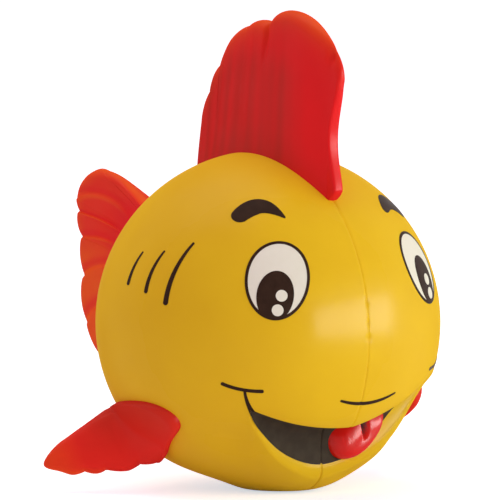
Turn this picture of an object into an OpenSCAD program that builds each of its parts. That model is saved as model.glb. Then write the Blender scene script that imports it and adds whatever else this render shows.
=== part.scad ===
// Squeezable foam toy in the form of a round fish.
// A ball-shaped foam body stands on a small flat belly, with the face towards -Y, the tail
// towards +Y and the fish's left side towards +X. The origin is the centre of the belly flat.
// Each soft fin is a root that is one with the body and a blade that bends along the flex line
// between them. The eyes, brows and marks are thin printed layers on the ball.

/* [Body] */
// Radius of the ball-shaped body
ball_r = 33; // [32:0.5:36]
// Height that the flat belly cuts off the ball
belly_cut = 1.3; // [0.8:0.1:2]
// Depth of the soft hollow in each cheek, behind the mouth
cheek_deep = 1.1; // [0:0.1:2]

/* [Mouth] */
// Bearing from the middle of the mouth to its corner on the fish's right, in degrees
mouth_right = 42; // [38:0.5:44]
// Bearing from the middle of the mouth to its corner on the fish's left, in degrees
mouth_left = 45; // [40:0.5:47]
// Depth of the mouth behind its lips
mouth_deep = 5.6; // [2:0.1:7]
// Rounding of the upper lip's edge
lip_round_top = 0.7; // [0:0.1:1.5]
// Rounding of the lower lip's edge
lip_round_low = 1.7; // [0:0.1:3]
// Height of the tongue over the floor of the mouth
tongue_rise = 3.2; // [1:0.1:4]

/* [Fins] */
// Half thickness of the dorsal fin at its flex line
dorsal_half = 2.7; // [2:0.1:3]
// Half thickness of the tail fin at its flex line
tail_half = 2.8; // [2:0.1:3.2]
// Half thickness of a pectoral fin at its flex line
pectoral_half = 2.2; // [1.6:0.1:2.2]
// Thickness of a fin's rim, as a share of the thickness at the flex line
rim_share = 0.55; // [0.3:0.05:0.9]
// Depth of the grooves between the fin rays, as a share of the thickness
ray_groove = 0.3; // [0:0.05:0.5]
// Gap between a blade's round foot and the channel in its root
flex_gap = 0.2; // [0.15:0.05:0.25]

/* [Print] */
// Thickness of one printed layer
film = 0.12; // [0.08:0.02:0.2]
// Width of the ring round each eye
eye_ring_w = 0.6; // [0.4:0.1:1]

/* [Hidden] */

foam_yellow = "#f0c41c";
fin_red = "#d02828";
ink_brown = "#3d2a22";
eye_ivory = "#f2ece2";

// Fin outlines are drawn for a 33 mm ball and grow with it
unit = ball_r / 33;
ball_z = ball_r - belly_cut;
ball_c = [0, 0, ball_z];
degrees_per_mm = 180 / (PI * ball_r);
seat_gap = 0.04;

// Lips, as rises above the ball's equator in degrees. The grin is lopsided, so the corners and the bend
// of the upper lip are listed for the fish's right and left. The rounding reaches above and below them.
lip_middle_top = -33.4;
lip_middle_low = -56;
lip_corners = [-24.3, -16];
lip_bends = [2.3, 1.4];
lip_reach = [2.5, 5];
line_gap = 6;
flat_rise = -asin(ball_z / ball_r);

// Hollow in each cheek: its bearing and rise, and its reach each way in degrees
cheek_at = [50, -38];
cheek_reach = [14, 9];

// Grid of the body: bearings close together at the face, and rows above, in and below the mouth
body_bearings = concat([for (b = [-54:3:54]) b], [for (b = [63:9:297]) b]);
rows_head = 15;
rows_mouth = 10;
rows_chin = 7;

// Directions and blends
function aim(bearing, rise) = [cos(rise) * sin(bearing), -cos(rise) * cos(bearing), sin(rise)];
function mix(a, b, t) = a + (b - a) * t;
function bend(p, t) = mix(mix(p[0], p[1], t), mix(p[1], p[2], t), t);
function flat_list(rows) = [for (row = rows) each row];

// The skin of the ball: a sphere with the mouth and the cheek hollows pressed into it
function on_left(b) = b > 0 ? 1 : 0;
function mouth_reach(b) = min(abs(b) / (b > 0 ? mouth_left : mouth_right), 1);
function mouth_open(b) = 1 - pow(mouth_reach(b), 2);
function past_corner(b) = max(0, (b - mouth_left) / (360 - mouth_left - mouth_right));
function lip_corner(b) = mix(lip_corners[on_left(b)], lip_corners[0], past_corner(b));
function lip_top(b) = mix(lip_middle_top, lip_corner(b), pow(mouth_reach(b), lip_bends[on_left(b)]));
function lip_low(b) = min(mix(lip_corner(b), lip_middle_low, pow(mouth_open(b), 0.6)), lip_top(b) - 0.5);
function lip_fade(b) = sqrt(mouth_open(b));
function mouth_share(b, r) = (lip_top(b) - r) / (lip_top(b) - lip_low(b));
function mouth_depth(b, r) =
    let (s = mouth_share(b, r))
    s <= 0 ? lip_fade(b) * lip_round_top * exp(-(r - lip_top(b)) / lip_reach[0])
    : s >= 1 ? lip_fade(b) * lip_round_low * exp(-pow((lip_low(b) - r) / lip_reach[1], 1.3))
    : lip_fade(b) * mix(lip_round_top, lip_round_low, s)
        + mouth_deep * pow(mouth_open(b), 0.7) * pow(sin(180 * s), 0.8);
function cheek_depth(b, r) = cheek_deep
    * exp(-pow((abs(b) - cheek_at[0]) / cheek_reach[0], 2) - pow((r - cheek_at[1]) / cheek_reach[1], 2));
function skin_r(b, r) = ball_r - mouth_depth(b, r) - cheek_depth(b, r);
function on_skin(b, r, lift) = ball_c + (skin_r(b, r) + lift) * aim(b, r);

// Closed solid between two sheets of points on the same grid
module slab(top, bottom) {
    n = len(top);
    m = len(top[0]);
    t = function (i, k) i * m + k;
    b = function (i, k) n * m + i * m + k;
    quads = concat(
        [for (i = [0:n - 2], k = [0:m - 2]) [t(i, k), t(i, k + 1), t(i + 1, k + 1), t(i + 1, k)]],
        [for (i = [0:n - 2], k = [0:m - 2]) [b(i, k), b(i + 1, k), b(i + 1, k + 1), b(i, k + 1)]],
        [for (i = [0:n - 2]) [t(i, 0), t(i + 1, 0), b(i + 1, 0), b(i, 0)]],
        [for (i = [0:n - 2]) [t(i + 1, m - 1), t(i, m - 1), b(i, m - 1), b(i + 1, m - 1)]],
        [for (k = [0:m - 2]) [t(0, k + 1), t(0, k), b(0, k), b(0, k + 1)]],
        [for (k = [0:m - 2]) [t(n - 1, k), t(n - 1, k + 1), b(n - 1, k + 1), b(n - 1, k)]]
    );
    solid_of(concat(flat_list(top), flat_list(bottom)), quads);
}

// Closed ring made by carrying a small loop of points round and back to its start
module band(loops) {
    n = len(loops);
    m = len(loops[0]);
    at = function (i, k) (i % n) * m + k % m;
    quads = [for (i = [0:n - 1], k = [0:m - 1])
        [at(i, k), at(i, k + 1), at(i + 1, k + 1), at(i + 1, k)]];
    solid_of(flat_list(loops), quads);
}

module solid_of(points, quads) {
    polyhedron(points, [for (q = quads) each [[q[0], q[1], q[2]], [q[0], q[2], q[3]]]]);
}

// Rises of one body column, from under the top pole to the edge of the belly flat
function column_rises(b) =
    let (top = lip_top(b), low = min(lip_low(b), top - line_gap))
    concat(
        [for (i = [1:rows_head]) mix(90, top, 1 - pow(1 - i / rows_head, 1.2))],
        [for (i = [1:rows_mouth]) mix(top, low, i / rows_mouth)],
        [for (i = [1:rows_chin]) mix(low, flat_rise, i / rows_chin)]
    );
function body_point(b, r) = r <= flat_rise ? ball_c + ball_r * aim(b, flat_rise) : on_skin(b, r, 0);

module foam_body() {
    n = len(body_bearings);
    rings = [for (b = body_bearings) [for (r = column_rises(b)) body_point(b, r)]];
    m = len(rings[0]);
    pole = n * m;
    at = function (i, k) (i % n) * m + k;
    sides = [for (i = [0:n - 1], k = [0:m - 2]) each
        [[at(i, k), at(i + 1, k), at(i + 1, k + 1)], [at(i, k), at(i + 1, k + 1), at(i, k + 1)]]];
    caps = [for (i = [0:n - 1]) each
        [[pole, at(i + 1, 0), at(i, 0)], [pole + 1, at(i, m - 1), at(i + 1, m - 1)]]];
    color(foam_yellow)
        polyhedron(concat(flat_list(rings), [ball_c + [0, 0, ball_r], [0, 0, 0]]), concat(sides, caps));
}

// Dark lining of the mouth, on the body's own grid so that it lies flat on it
lining_right = -39;
lining_left = 36;
module mouth_lining() {
    sheet = function (lift) [for (b = [lining_right:3:lining_left])
        [for (i = [1:rows_mouth - 1]) on_skin(b, mix(lip_top(b), lip_low(b), i / rows_mouth), lift)]];
    color(ink_brown) slab(sheet(seat_gap), sheet(seat_gap + film));
}

// A square grid drawn out to a disc: x and y run from -1 to 1
function disc_x(x, y) = x * sqrt(1 - y * y / 2);
function disc_y(x, y) = y * sqrt(1 - x * x / 2);
function disc_edge(x, y) = sqrt(max(0, (1 - x * x) * (1 - y * y)));
function disc_steps(n) = [for (i = [0:n]) 2 * i / n - 1];

// Tongue lying in the fish's left half of the mouth: bearing of its middle and half of the bearing
// that it takes up, and the share of the way from the upper to the lower lip, in the same way
tongue_bearing = [19.5, 15.5];
tongue_share = [0.68, 0.3];
tongue_seat = 0.45;
function tongue_skin(x, y, lift) =
    let (b = tongue_bearing[0] + tongue_bearing[1] * disc_x(x, y),
        share = tongue_share[0] - tongue_share[1] * disc_y(x, y))
    on_skin(b, mix(lip_top(b), lip_low(b), share), lift);

module tongue() {
    sheet = function (lift, crown) [for (x = disc_steps(9)) [for (y = disc_steps(7))
        tongue_skin(x, y, lift + crown * disc_edge(x, y))]];
    color(fin_red) slab(sheet(tongue_seat + film, tongue_rise), sheet(tongue_seat, 0));
}

// Printed stroke along a bent line of bearings and rises, with a width at its start, middle and end
module stroke(line, widths, steps) {
    side = function (t) let (d = bend(line, t + 0.01) - bend(line, t - 0.01), c = cos(bend(line, t)[1]))
        [-d[1] / c, d[0] * c] / norm([d[0] * c, d[1]]);
    sheet = function (lift) [for (i = [0:steps]) let (t = i / steps, p = bend(line, t),
        reach = side(t) * bend(widths, t) / 2 * degrees_per_mm)
        [for (q = [-1:1]) on_skin(p[0] + q * reach[0], p[1] + q * reach[1], lift)]];
    slab(sheet(seat_gap + film), sheet(seat_gap));
}

// Printed oval, its top leaning to the fish's left: middle as bearing and rise, half sizes in mm, and
// the layer that it is printed in
function oval_point(middle, half, lean, x, y, lift) = let (
        across = half[0] * x * cos(lean) + half[1] * y * sin(lean),
        up = half[1] * y * cos(lean) - half[0] * x * sin(lean))
    on_skin(middle[0] + across * degrees_per_mm / cos(middle[1]), middle[1] + up * degrees_per_mm, lift);
module oval(middle, half, lean, layer, steps) {
    low = seat_gap + layer * (film + seat_gap);
    sheet = function (lift) [for (x = disc_steps(steps)) [for (y = disc_steps(steps))
        oval_point(middle, half, lean, disc_x(x, y), disc_y(x, y), lift)]];
    slab(sheet(low + film), sheet(low));
}

nose_line = [[-9, -21.4], [3, -25.2], [16, -20.2]];
nose_widths = [0.4, 0.9, 0.3];
module nose_mark() {
    color(ink_brown) stroke(nose_line, nose_widths, 12);
}

// Eyes, drawn for the fish's right side, with their tops leaning to the nose
eye_at = [-32.2, 20.3];
eye_half = [6.2, 7.85];
eye_lean = 9;
pupil_at = [-33, 15.1];
pupil_half = [3.5, 4.5];
module on_side(side) {
    mirror([side == "left" ? 1 : 0, 0, 0]) children();
}

module eye_outline(side) {
    steps = 36;
    edge = function (a, inset, lift)
        oval_point(eye_at, eye_half - [inset, inset], eye_lean, cos(a), sin(a), lift);
    loops = [for (i = [0:steps - 1]) let (a = i * 360 / steps)
        [edge(a, 0, seat_gap), edge(a, 0, seat_gap + film),
            edge(a, eye_ring_w, seat_gap + film), edge(a, eye_ring_w, seat_gap)]];
    color(ink_brown) on_side(side) band(loops);
}

module eye_white(side) {
    inset = eye_ring_w + 0.05;
    color(eye_ivory) on_side(side) oval(eye_at, eye_half - [inset, inset], eye_lean, 0, 8);
}

module pupil(side) {
    color(ink_brown) on_side(side) oval(pupil_at, pupil_half, eye_lean, 1, 6);
}

// Two round spots on each pupil, both towards the fish's left, so they aren't mirrored
catchlight_half = [1.1, 1.1];
catchlight_steps = [[2, 0.5], [0.8, -4.4]];
module catchlights(side) {
    bearing = side == "left" ? -pupil_at[0] : pupil_at[0];
    color(eye_ivory) for (s = catchlight_steps)
        oval([bearing + s[0], pupil_at[1] + s[1]], catchlight_half, 0, 2, 4);
}

brow_line = [[-51, 42.6], [-41, 54.6], [-27.5, 43.2]];
brow_widths = [2.4, 4.6, 0.3];
module brow(side) {
    color(ink_brown) on_side(side) stroke(brow_line, brow_widths, 10);
}

// Three bowed strokes behind the cheek, the front one the longest and thickest
gill_lines = [
    [[-72.5, 10.5], [-72.5, 23], [-65.8, 32.6]],
    [[-82.1, 13.8], [-82.5, 22], [-78.2, 28.9]],
    [[-92.6, 15.7], [-92.8, 22], [-89.8, 27.7]]
];
gill_widths = [[1.0, 0.8, 0.3], [0.75, 0.6, 0.25], [0.7, 0.55, 0.25]];
module gill_marks(side) {
    color(ink_brown) on_side(side) for (i = [0:2]) stroke(gill_lines[i], gill_widths[i], 6);
}

// A crossbar on each cheek. On the right a stroke falls from it to the corner of the mouth, and on the
// left the corner itself comes up to it.
right_bar = [[-51.8, -14.6], [-45.5, -17.4], [-37, -17.3]];
right_fall = [[-43.8, -17.6], [-43.6, -20], [-42.6, -22.4]];
left_bar = [[39, -14.2], [47.5, -14.3], [53.8, -11.6]];
bar_widths = [0.7, 0.6, 0.7];
fall_widths = [0.5, 0.6, 0.8];
module right_smile_mark() {
    color(ink_brown) {
        stroke(right_bar, bar_widths, 8);
        stroke(right_fall, fall_widths, 5);
    }
}

module left_smile_mark() {
    color(ink_brown) stroke(left_bar, bar_widths, 8);
}

// A fin's outline is a row of lobes between notches. Each row holds the notch's place in the fin's
// own plane, its share of the way along the flex line, and the next lobe's bulge, lean and fullness.
function lobe_point(lobes, k, q) =
    let (p = [lobes[k][0], lobes[k][1]], e = [lobes[k + 1][0], lobes[k + 1][1]] - p,
        out = [e[1], -e[0]] / norm(e))
    p + e * q - out * lobes[k][3] * pow(sin(180 * pow(q, lobes[k][4])), lobes[k][5]);
function lobe_share(lobes, k, q) = mix(lobes[k][2], lobes[k + 1][2], q);

// Stations along a fin, as a lobe and the way along it, and the shares of the flex line that they are at
function stations(lobes, steps) = concat(
    [for (k = [0:len(lobes) - 2], i = [0:steps - 1]) [k, i / steps]], [[len(lobes) - 2, 1]]);
function shares_of(lobes, steps) = [for (s = stations(lobes, steps)) lobe_share(lobes, s[0], s[1])];

// Shares of the way out along a ray, and how thick the fin is there
ray_shares = [1, 0.95, 0.82, 0.62, 0.4, 0.2, 0];
rim_flat = 0.12;
function ray_half(share) = max(mix(1, rim_share, share) * sqrt(1 - pow(share, 8)), rim_flat);
function end_round(t) = sqrt(1 - 0.75 * pow(1 - min(min(t, 1 - t) / 0.09, 1), 2));
function lobe_swell(q) = 1 - ray_groove * (1 - pow(sin(180 * q), 0.5));
foot_angles = [25, 50, 72, 88];

// Blade of a fin in its own plane: flex line from a to b along the first axis, rays towards the outline,
// thickness along the third axis, and a round foot that turns in the root's channel
function blade_side(lobes, ends, half, side, steps) = [
    for (station = stations(lobes, steps))
        let (k = station[0], q = station[1], share = lobe_share(lobes, k, q),
            rim = lobe_point(lobes, k, q), heel = [mix(ends[0], ends[1], share), 0],
            thick = half * end_round(share))
        concat(
            [for (s = ray_shares) let (p = mix(heel, rim, s),
                swell = mix(1, lobe_swell(q), min(1, s * 2)))
                [p[0], p[1], side * thick * ray_half(s) * swell]],
            [for (a = foot_angles) [heel[0], -thick * sin(a), side * thick * cos(a)]]
        )
];

// Places a fin's own plane in the toy: origin on the flex line, then the three axes
function place(frame, p) = frame[0] + p[0] * frame[1] + p[1] * frame[2] + p[2] * frame[3];
function place_sheet(frame, sheet) = [for (row = sheet) [for (p = row) place(frame, p)]];

module fin_blade(frame, lobes, ends, half, steps) {
    color(fin_red) slab(
        place_sheet(frame, blade_side(lobes, ends, half, -1, steps)),
        place_sheet(frame, blade_side(lobes, ends, half, 1, steps)));
}

// Channel in the top of a root, from rim to rim round the blade's foot
channel_angles = [for (i = [0:6]) mix(26, 154, i / 6)];
function channel(along, half, t) = let (reach = half * end_round(t) + flex_gap)
    [for (a = channel_angles) [along, -reach * sin(a), reach * cos(a)]];
function channel_sheet(frame, ends, half, shares) =
    place_sheet(frame, [for (t = shares) channel(mix(ends[0], ends[1], t), half, t)]);

// Dorsal fin, in the fish's middle plane
dorsal_frame = [ball_c + [0, 0, 36.9 * unit], [0, 1, 0], [0, 0, 1], [1, 0, 0]];
dorsal_ends = [-22.1 * unit, 22 * unit];
dorsal_lobes = [for (p = [
    [-25, 11.4, 0, 6.4, 1, 0.4],
    [-2.3, 20.6, 0.46, 1.2, 0.9, 0.6],
    [5.3, 19.8, 0.62, 2.2, 1.2, 0.6],
    [14.8, 11.9, 0.8, 1.1, 1, 0.6],
    [18.1, 7.3, 0.9, 0.6, 1, 0.7],
    [22, 2.3, 1, 0, 1, 1]
]) [p[0] * unit, p[1] * unit, p[2], p[3] * unit, p[4], p[5]]];
dorsal_foot = 3.9;
dorsal_steps = 5;

module dorsal_fin_blade() {
    fin_blade(dorsal_frame, dorsal_lobes, dorsal_ends, dorsal_half, dorsal_steps);
}

// A root stands on the ball: its underside is the ball's own surface, a hair above it. Its two sides
// flare from the rims of the channel to its foot.
edge_lift = 0.05;
crown_lift = 0.2;
function ball_height(a, b, lift) = sqrt(pow(ball_r + seat_gap + lift, 2) - a * a - b * b);
foot_shares = [1, 0.5, 0, -0.5, -1];
function foot_of(t, foot_half) = foot_shares * foot_half * end_round(t);
function flare(rim, foot) = mix(rim, foot, 0.5);
function root_row(rims, foot) = concat([flare(rims[0], foot[0])], foot, [flare(rims[1], foot[4])]);
function rims_of(row) = [row[0], row[len(row) - 1]];

module dorsal_fin_root() {
    shares = shares_of(dorsal_lobes, dorsal_steps);
    top = channel_sheet(dorsal_frame, dorsal_ends, dorsal_half, shares);
    bottom = [for (i = [0:len(shares) - 1])
        let (t = shares[i], y = mix(dorsal_ends[0], dorsal_ends[1], t))
        root_row(rims_of(top[i]),
            [for (x = foot_of(t, dorsal_foot)) [x, y, ball_z + ball_height(x, y, crown_lift)]])];
    color(fin_red) slab(top, bottom);
}

// Tail fin, in the fish's middle plane behind the body
tail_frame = [ball_c + [0, 41 * unit, 0], [0, 0, 1], [0, 1, 0], [1, 0, 0]];
tail_ends = [21.8 * unit, -12.2 * unit];
tail_seat = [15.5 * unit, -8 * unit];
tail_foot = 4.4;
tail_steps = 4;
tail_lobes = [for (p = [
    [24.7, 14, 0, 2.4, 1, 0.6],
    [16.6, 21.6, 0.22, 1.1, 1, 0.6],
    [11.5, 19.9, 0.38, 1.1, 1, 0.6],
    [3.9, 19, 0.55, 1.6, 1, 0.6],
    [-5.2, 18, 0.75, 0.8, 1, 0.6],
    [-11.2, 13.5, 0.9, 0.8, 1, 0.7],
    [-14.2, 9, 1, 0, 1, 1]
]) [p[0] * unit, p[1] * unit, p[2], -p[3] * unit, p[4], p[5]]];

module tail_fin_blade() {
    fin_blade(tail_frame, tail_lobes, tail_ends, tail_half, tail_steps);
}

module tail_fin_root() {
    shares = shares_of(tail_lobes, tail_steps);
    top = channel_sheet(tail_frame, tail_ends, tail_half, shares);
    bottom = [for (i = [0:len(shares) - 1])
        let (t = shares[i], z = mix(tail_seat[0], tail_seat[1], t))
        root_row(rims_of(top[i]),
            [for (x = foot_of(t, tail_foot)) [x, ball_height(x, z, edge_lift), ball_z + z]])];
    color(fin_red) slab(top, bottom);
}

// Pectoral fins, drawn for the fish's right side: a plane that is swept back and droops
pectoral_out = [-0.767, 0.511, -0.387];
pectoral_up = [-0.036, 0.568, 0.822];
pectoral_face = cross(pectoral_out, pectoral_up);
pectoral_frame = [
    ball_c + [-28.5, 9.9, -21.7] * unit, pectoral_up, pectoral_out, pectoral_face
];
pectoral_ends = [6.4 * unit, -6.2 * unit];
pectoral_steps = 4;
pectoral_lobes = [for (p = [
    [6.6, 1, 0, 0.9, 1.6, 0.8],
    [1.2, 14.2, 0.34, 1.8, 0.8, 0.7],
    [-3.2, 8, 0.62, 0.7, 1, 0.6],
    [-4.6, 4, 0.8, 0.6, 1, 0.6],
    [-6.4, 1, 1, 0, 1, 1]
]) [p[0] * unit, p[1] * unit, p[2], -p[3] * unit, p[4], p[5]]];

// Rounded patch that a pectoral root covers on the ball: its middle, half sizes in mm, and slant.
// Between the flex line and the patch's edge the root swells, so that its edge is a soft step.
pectoral_at = [-106, -36];
pectoral_patch = [15.5, 6.8];
pectoral_slant = 10;
patch_power = 4;
patch_reach = 0.92;
swell_share = 0.6;
swell_lift = 2.2;
under_lift = 0.37;
function patch_place(forward, up) =
    let (f = forward * cos(pectoral_slant) - up * sin(pectoral_slant),
        u = forward * sin(pectoral_slant) + up * cos(pectoral_slant))
    [pectoral_at[0] + f * degrees_per_mm / cos(pectoral_at[1]), pectoral_at[1] + u * degrees_per_mm];
function patch_point(forward, up, lift) =
    let (p = patch_place(forward, up)) ball_c + (ball_r + seat_gap + lift) * aim(p[0], p[1]);
function lifted(p, lift) = ball_c + (ball_r + lift) * (p - ball_c) / norm(p - ball_c);
function swell(rim, foot) = lifted(mix(rim, foot, swell_share), swell_lift);

module pectoral_blade(side) {
    on_side(side) fin_blade(pectoral_frame, pectoral_lobes, pectoral_ends, pectoral_half,
        pectoral_steps);
}

module pectoral_root(side) {
    shares = shares_of(pectoral_lobes, pectoral_steps);
    up = function (t) patch_reach * (1 - 2 * t);
    across = function (t) pectoral_patch[0] * sqrt(1 - pow(abs(up(t)), patch_power));
    foot = function (t) [for (q = foot_shares)
        patch_point(-q * across(t), pectoral_patch[1] * up(t), abs(q) == 1 ? edge_lift : under_lift)];
    top = channel_sheet(pectoral_frame, pectoral_ends, pectoral_half, shares);
    bottom = [for (i = [0:len(shares) - 1]) let (f = foot(shares[i]), rims = rims_of(top[i]))
        concat([swell(rims[0], f[0])], f, [swell(rims[1], f[4])])];
    color(fin_red) on_side(side) slab(top, bottom);
}

foam_body();
mouth_lining();
tongue();
nose_mark();
dorsal_fin_root();
dorsal_fin_blade();
tail_fin_root();
tail_fin_blade();
pectoral_root("right");  // right_pectoral_root
pectoral_blade("right");  // right_pectoral_blade
pectoral_root("left");  // left_pectoral_root
pectoral_blade("left");  // left_pectoral_blade
eye_outline("right");  // right_eye_outline
eye_white("right");  // right_eye_white
pupil("right");  // right_pupil
catchlights("right");  // right_catchlights
brow("right");  // right_brow
gill_marks("right");  // right_gill_marks
right_smile_mark();
eye_outline("left");  // left_eye_outline
eye_white("left");  // left_eye_white
pupil("left");  // left_pupil
catchlights("left");  // left_catchlights
brow("left");  // left_brow
gill_marks("left");  // left_gill_marks
left_smile_mark();
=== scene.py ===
"""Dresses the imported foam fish: its skin, mouth, printed face and soft fins, in a plain studio.

Shapes are in millimetres and degrees, the studio in metres. A field whose name ends in span holds where a
change starts and how long it takes; a negative length means that the change runs the other way.
"""

import logging
from abc import ABC, abstractmethod
from dataclasses import dataclass, field, replace
from enum import Enum

import bpy
import numpy as np
from mathutils import Matrix, Vector


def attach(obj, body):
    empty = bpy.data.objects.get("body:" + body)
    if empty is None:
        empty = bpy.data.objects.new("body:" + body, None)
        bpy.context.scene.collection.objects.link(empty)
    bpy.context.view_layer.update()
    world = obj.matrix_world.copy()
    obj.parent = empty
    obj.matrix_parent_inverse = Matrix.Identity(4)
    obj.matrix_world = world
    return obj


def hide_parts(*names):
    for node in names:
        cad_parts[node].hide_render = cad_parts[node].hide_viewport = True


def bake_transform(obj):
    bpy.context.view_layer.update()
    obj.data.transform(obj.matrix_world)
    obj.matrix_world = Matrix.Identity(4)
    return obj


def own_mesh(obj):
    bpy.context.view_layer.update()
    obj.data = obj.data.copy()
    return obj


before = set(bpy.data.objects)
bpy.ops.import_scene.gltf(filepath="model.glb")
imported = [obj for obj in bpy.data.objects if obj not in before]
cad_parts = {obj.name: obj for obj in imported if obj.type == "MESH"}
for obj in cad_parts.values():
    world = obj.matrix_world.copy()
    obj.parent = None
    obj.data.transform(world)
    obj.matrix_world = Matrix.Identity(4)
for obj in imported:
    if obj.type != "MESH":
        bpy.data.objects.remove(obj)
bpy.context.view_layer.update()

MM = 0.001
CRISP_ANGLE = 40.0
log = logging.getLogger("foam_fish")

Array = np.ndarray
Pair = tuple[float, float]
Triple = tuple[float, float, float]
Colour = Triple
Socket = bpy.types.NodeSocket
Material = bpy.types.Material

WHITE: Colour = (1.0, 1.0, 1.0)


class Side(Enum):
    """The fish's own right and left, as the sign that bearings and X take there."""

    RIGHT = -1
    LEFT = 1


class Slot(Enum):
    """Material slots of the record."""

    YELLOW_SKIN = "yellow_skin"
    RED_SKIN = "red_skin"
    MOUTH_PAINT = "mouth_paint"
    TONGUE_PAINT = "tongue_paint"
    BROWN_INK = "brown_ink"
    WHITE_INK = "white_ink"


def mix(a: Array | float, b: Array | float, share: Array | float) -> Array | float:
    """Blend from a to b."""
    return a + (b - a) * share


def bend(a: Array | float, b: Array | float, c: Array | float, way: Array) -> Array:
    """Quadratic curve from a to c, drawn towards b."""
    return mix(mix(a, b, way), mix(b, c, way), way)


def bell(x: Array, middle: float, reach: float) -> Array:
    """Smooth bump of height one round the middle."""
    return np.exp(-(((x - middle) / reach) ** 2))


def ease(x: Array, start: float = 0.0, length: float = 1.0) -> Array:
    """Smooth step from 0 at the start to 1 a length further on."""
    t = np.clip((x - start) / length, 0.0, 1.0)
    return t * t * (3.0 - 2.0 * t)


def fade(x: Array, last: float, start: float, length: float) -> Array:
    """Factor that eases from 1 at the start to its last value a length further on."""
    return mix(1.0, last, ease(x, start, length))


def signed_power(x: Array, power: float) -> Array:
    """Power of the size of x, with the sign of x kept."""
    return np.sign(x) * np.abs(x) ** power


def wrapped(bearing: Array) -> Array:
    """The same bearings, from -180 to 180 degrees."""
    return (bearing + 180.0) % 360.0 - 180.0


def crowded_line(count: int) -> Array:
    """Steps from 0 to 1, close together at both ends as on half a cosine wave."""
    return 0.5 - 0.5 * np.cos(np.pi * np.linspace(0.0, 1.0, count))


def round_grid(count: int) -> tuple[Array, Array, Array, Array]:
    """Square grid from -1 to 1, and the same grid drawn out to a disc.

    Args:
        count: points along each side.

    Returns:
        Places across and down the square, then across and down the disc.
    """
    side = np.linspace(-1.0, 1.0, count)
    x, y = np.meshgrid(side, side, indexing="ij")
    return x, y, x * np.sqrt(1.0 - y**2 / 2.0), y * np.sqrt(1.0 - x**2 / 2.0)


def grid_quads(rows: int, cols: int, wrap_rows: bool = False, wrap_cols: bool = False) -> Array:
    """Corner numbers of the quads of a grid whose points are numbered row by row.

    Args:
        rows: number of rows of points.
        cols: number of points in a row.
        wrap_rows: join the last row to the first.
        wrap_cols: join the last column to the first.

    Returns:
        An (n, 4) array of corner numbers.
    """
    r = np.arange(rows if wrap_rows else rows - 1)[:, None]
    c = np.arange(cols if wrap_cols else cols - 1)[None, :]
    r_next, c_next = (r + 1) % rows, (c + 1) % cols
    corners = [r * cols + c, r * cols + c_next, r_next * cols + c_next, r_next * cols + c]
    return np.stack(corners, axis=-1).reshape(-1, 4)


def slab_quads(rows: int, cols: int) -> Array:
    """Quads of a closed slab: a top grid, a bottom grid numbered after it, and walls round the four edges.

    Args:
        rows: rows of points in each grid.
        cols: points in a row.

    Returns:
        An (n, 4) array of corner numbers.
    """
    count = rows * cols
    top = grid_quads(rows, cols)
    bottom = top[:, ::-1] + count
    ring = np.concatenate([
        np.arange(cols - 1), np.arange(rows - 1) * cols + cols - 1,
        count - 1 - np.arange(cols - 1), np.arange(rows - 1, 0, -1) * cols])
    after = np.roll(ring, -1)
    walls = np.stack([after, ring, ring + count, after + count], axis=-1)
    return np.concatenate([top, bottom, walls])


def fan(ring: Array, tip: int) -> Array:
    """Triangles that join a closed ring of points to one point."""
    return np.stack([ring, np.roll(ring, -1), np.full_like(ring, tip)], axis=-1)


@dataclass
class Shell:
    """A closed surface before it becomes a piece: points in millimetres, quads, triangles, point values."""

    points: Array
    quads: Array
    triangles: Array = field(default_factory=lambda: np.zeros((0, 3), int))
    values: dict[str, Array] = field(default_factory=dict)

    def outward(self) -> "Shell":
        """The same shell with its faces turned outwards, told by the sign of its volume.

        Returns:
            This shell, or one whose faces run the other way round.
        """
        q, p = self.quads, self.points
        corners = np.concatenate([q[:, [0, 1, 2]], q[:, [0, 2, 3]], self.triangles])
        a, b, c = (p[corners[:, k]] for k in range(3))
        if np.einsum("ij,ij->", a, np.cross(b, c)) >= 0:
            return self
        return Shell(p, q[:, ::-1], self.triangles[:, ::-1], self.values)

    def piece(self, name: str, material: Material, crisp: bool = False) -> bpy.types.Object:
        """Make the shell an object at the origin, in metres.

        Args:
            name: name of the piece.
            material: its finish.
            crisp: keep edges over the crisp angle sharp.

        Returns:
            The new object.
        """
        shell = self.outward()
        mesh = bpy.data.meshes.new(name)
        faces = shell.quads.tolist() + shell.triangles.tolist()
        mesh.from_pydata((shell.points * MM).tolist(), [], faces)
        for key, value in shell.values.items():
            layer = mesh.attributes.new(key, "FLOAT", "POINT")
            layer.data.foreach_set("value", np.ascontiguousarray(value, np.float32).ravel())
        mesh.polygons.foreach_set("use_smooth", np.ones(len(mesh.polygons), bool))
        if crisp:
            mesh.set_sharp_from_angle(angle=np.radians(CRISP_ANGLE))
        mesh.materials.append(material)
        mesh.update()
        made = bpy.data.objects.new(name, mesh)
        bpy.context.collection.objects.link(made)
        log.info("%s: %d points", name, len(shell.points))
        return made


def joined(shells: list[Shell]) -> Shell:
    """Several closed shells as one, each turned outwards first.

    Args:
        shells: the shells, which have no point values.

    Returns:
        One shell of them all.
    """
    whole = [shell.outward() for shell in shells]
    starts = np.cumsum([0] + [len(shell.points) for shell in whole])
    return Shell(
        np.concatenate([shell.points for shell in whole]),
        np.concatenate([shell.quads + start for shell, start in zip(whole, starts)]),
        np.concatenate([shell.triangles + start for shell, start in zip(whole, starts)]))


def slab(top: Array, bottom: Array, values: dict[str, Array] | None = None) -> Shell:
    """Closed slab between two sheets of points on one grid.

    Args:
        top: (rows, cols, 3) outer sheet.
        bottom: (rows, cols, 3) inner sheet.
        values: point values given on one sheet, used for both.

    Returns:
        The shell.
    """
    rows, cols, _ = top.shape
    points = np.concatenate([top.reshape(-1, 3), bottom.reshape(-1, 3)])
    both = {key: np.tile(value.ravel(), 2) for key, value in (values or {}).items()}
    return Shell(points, slab_quads(rows, cols), values=both)


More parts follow.
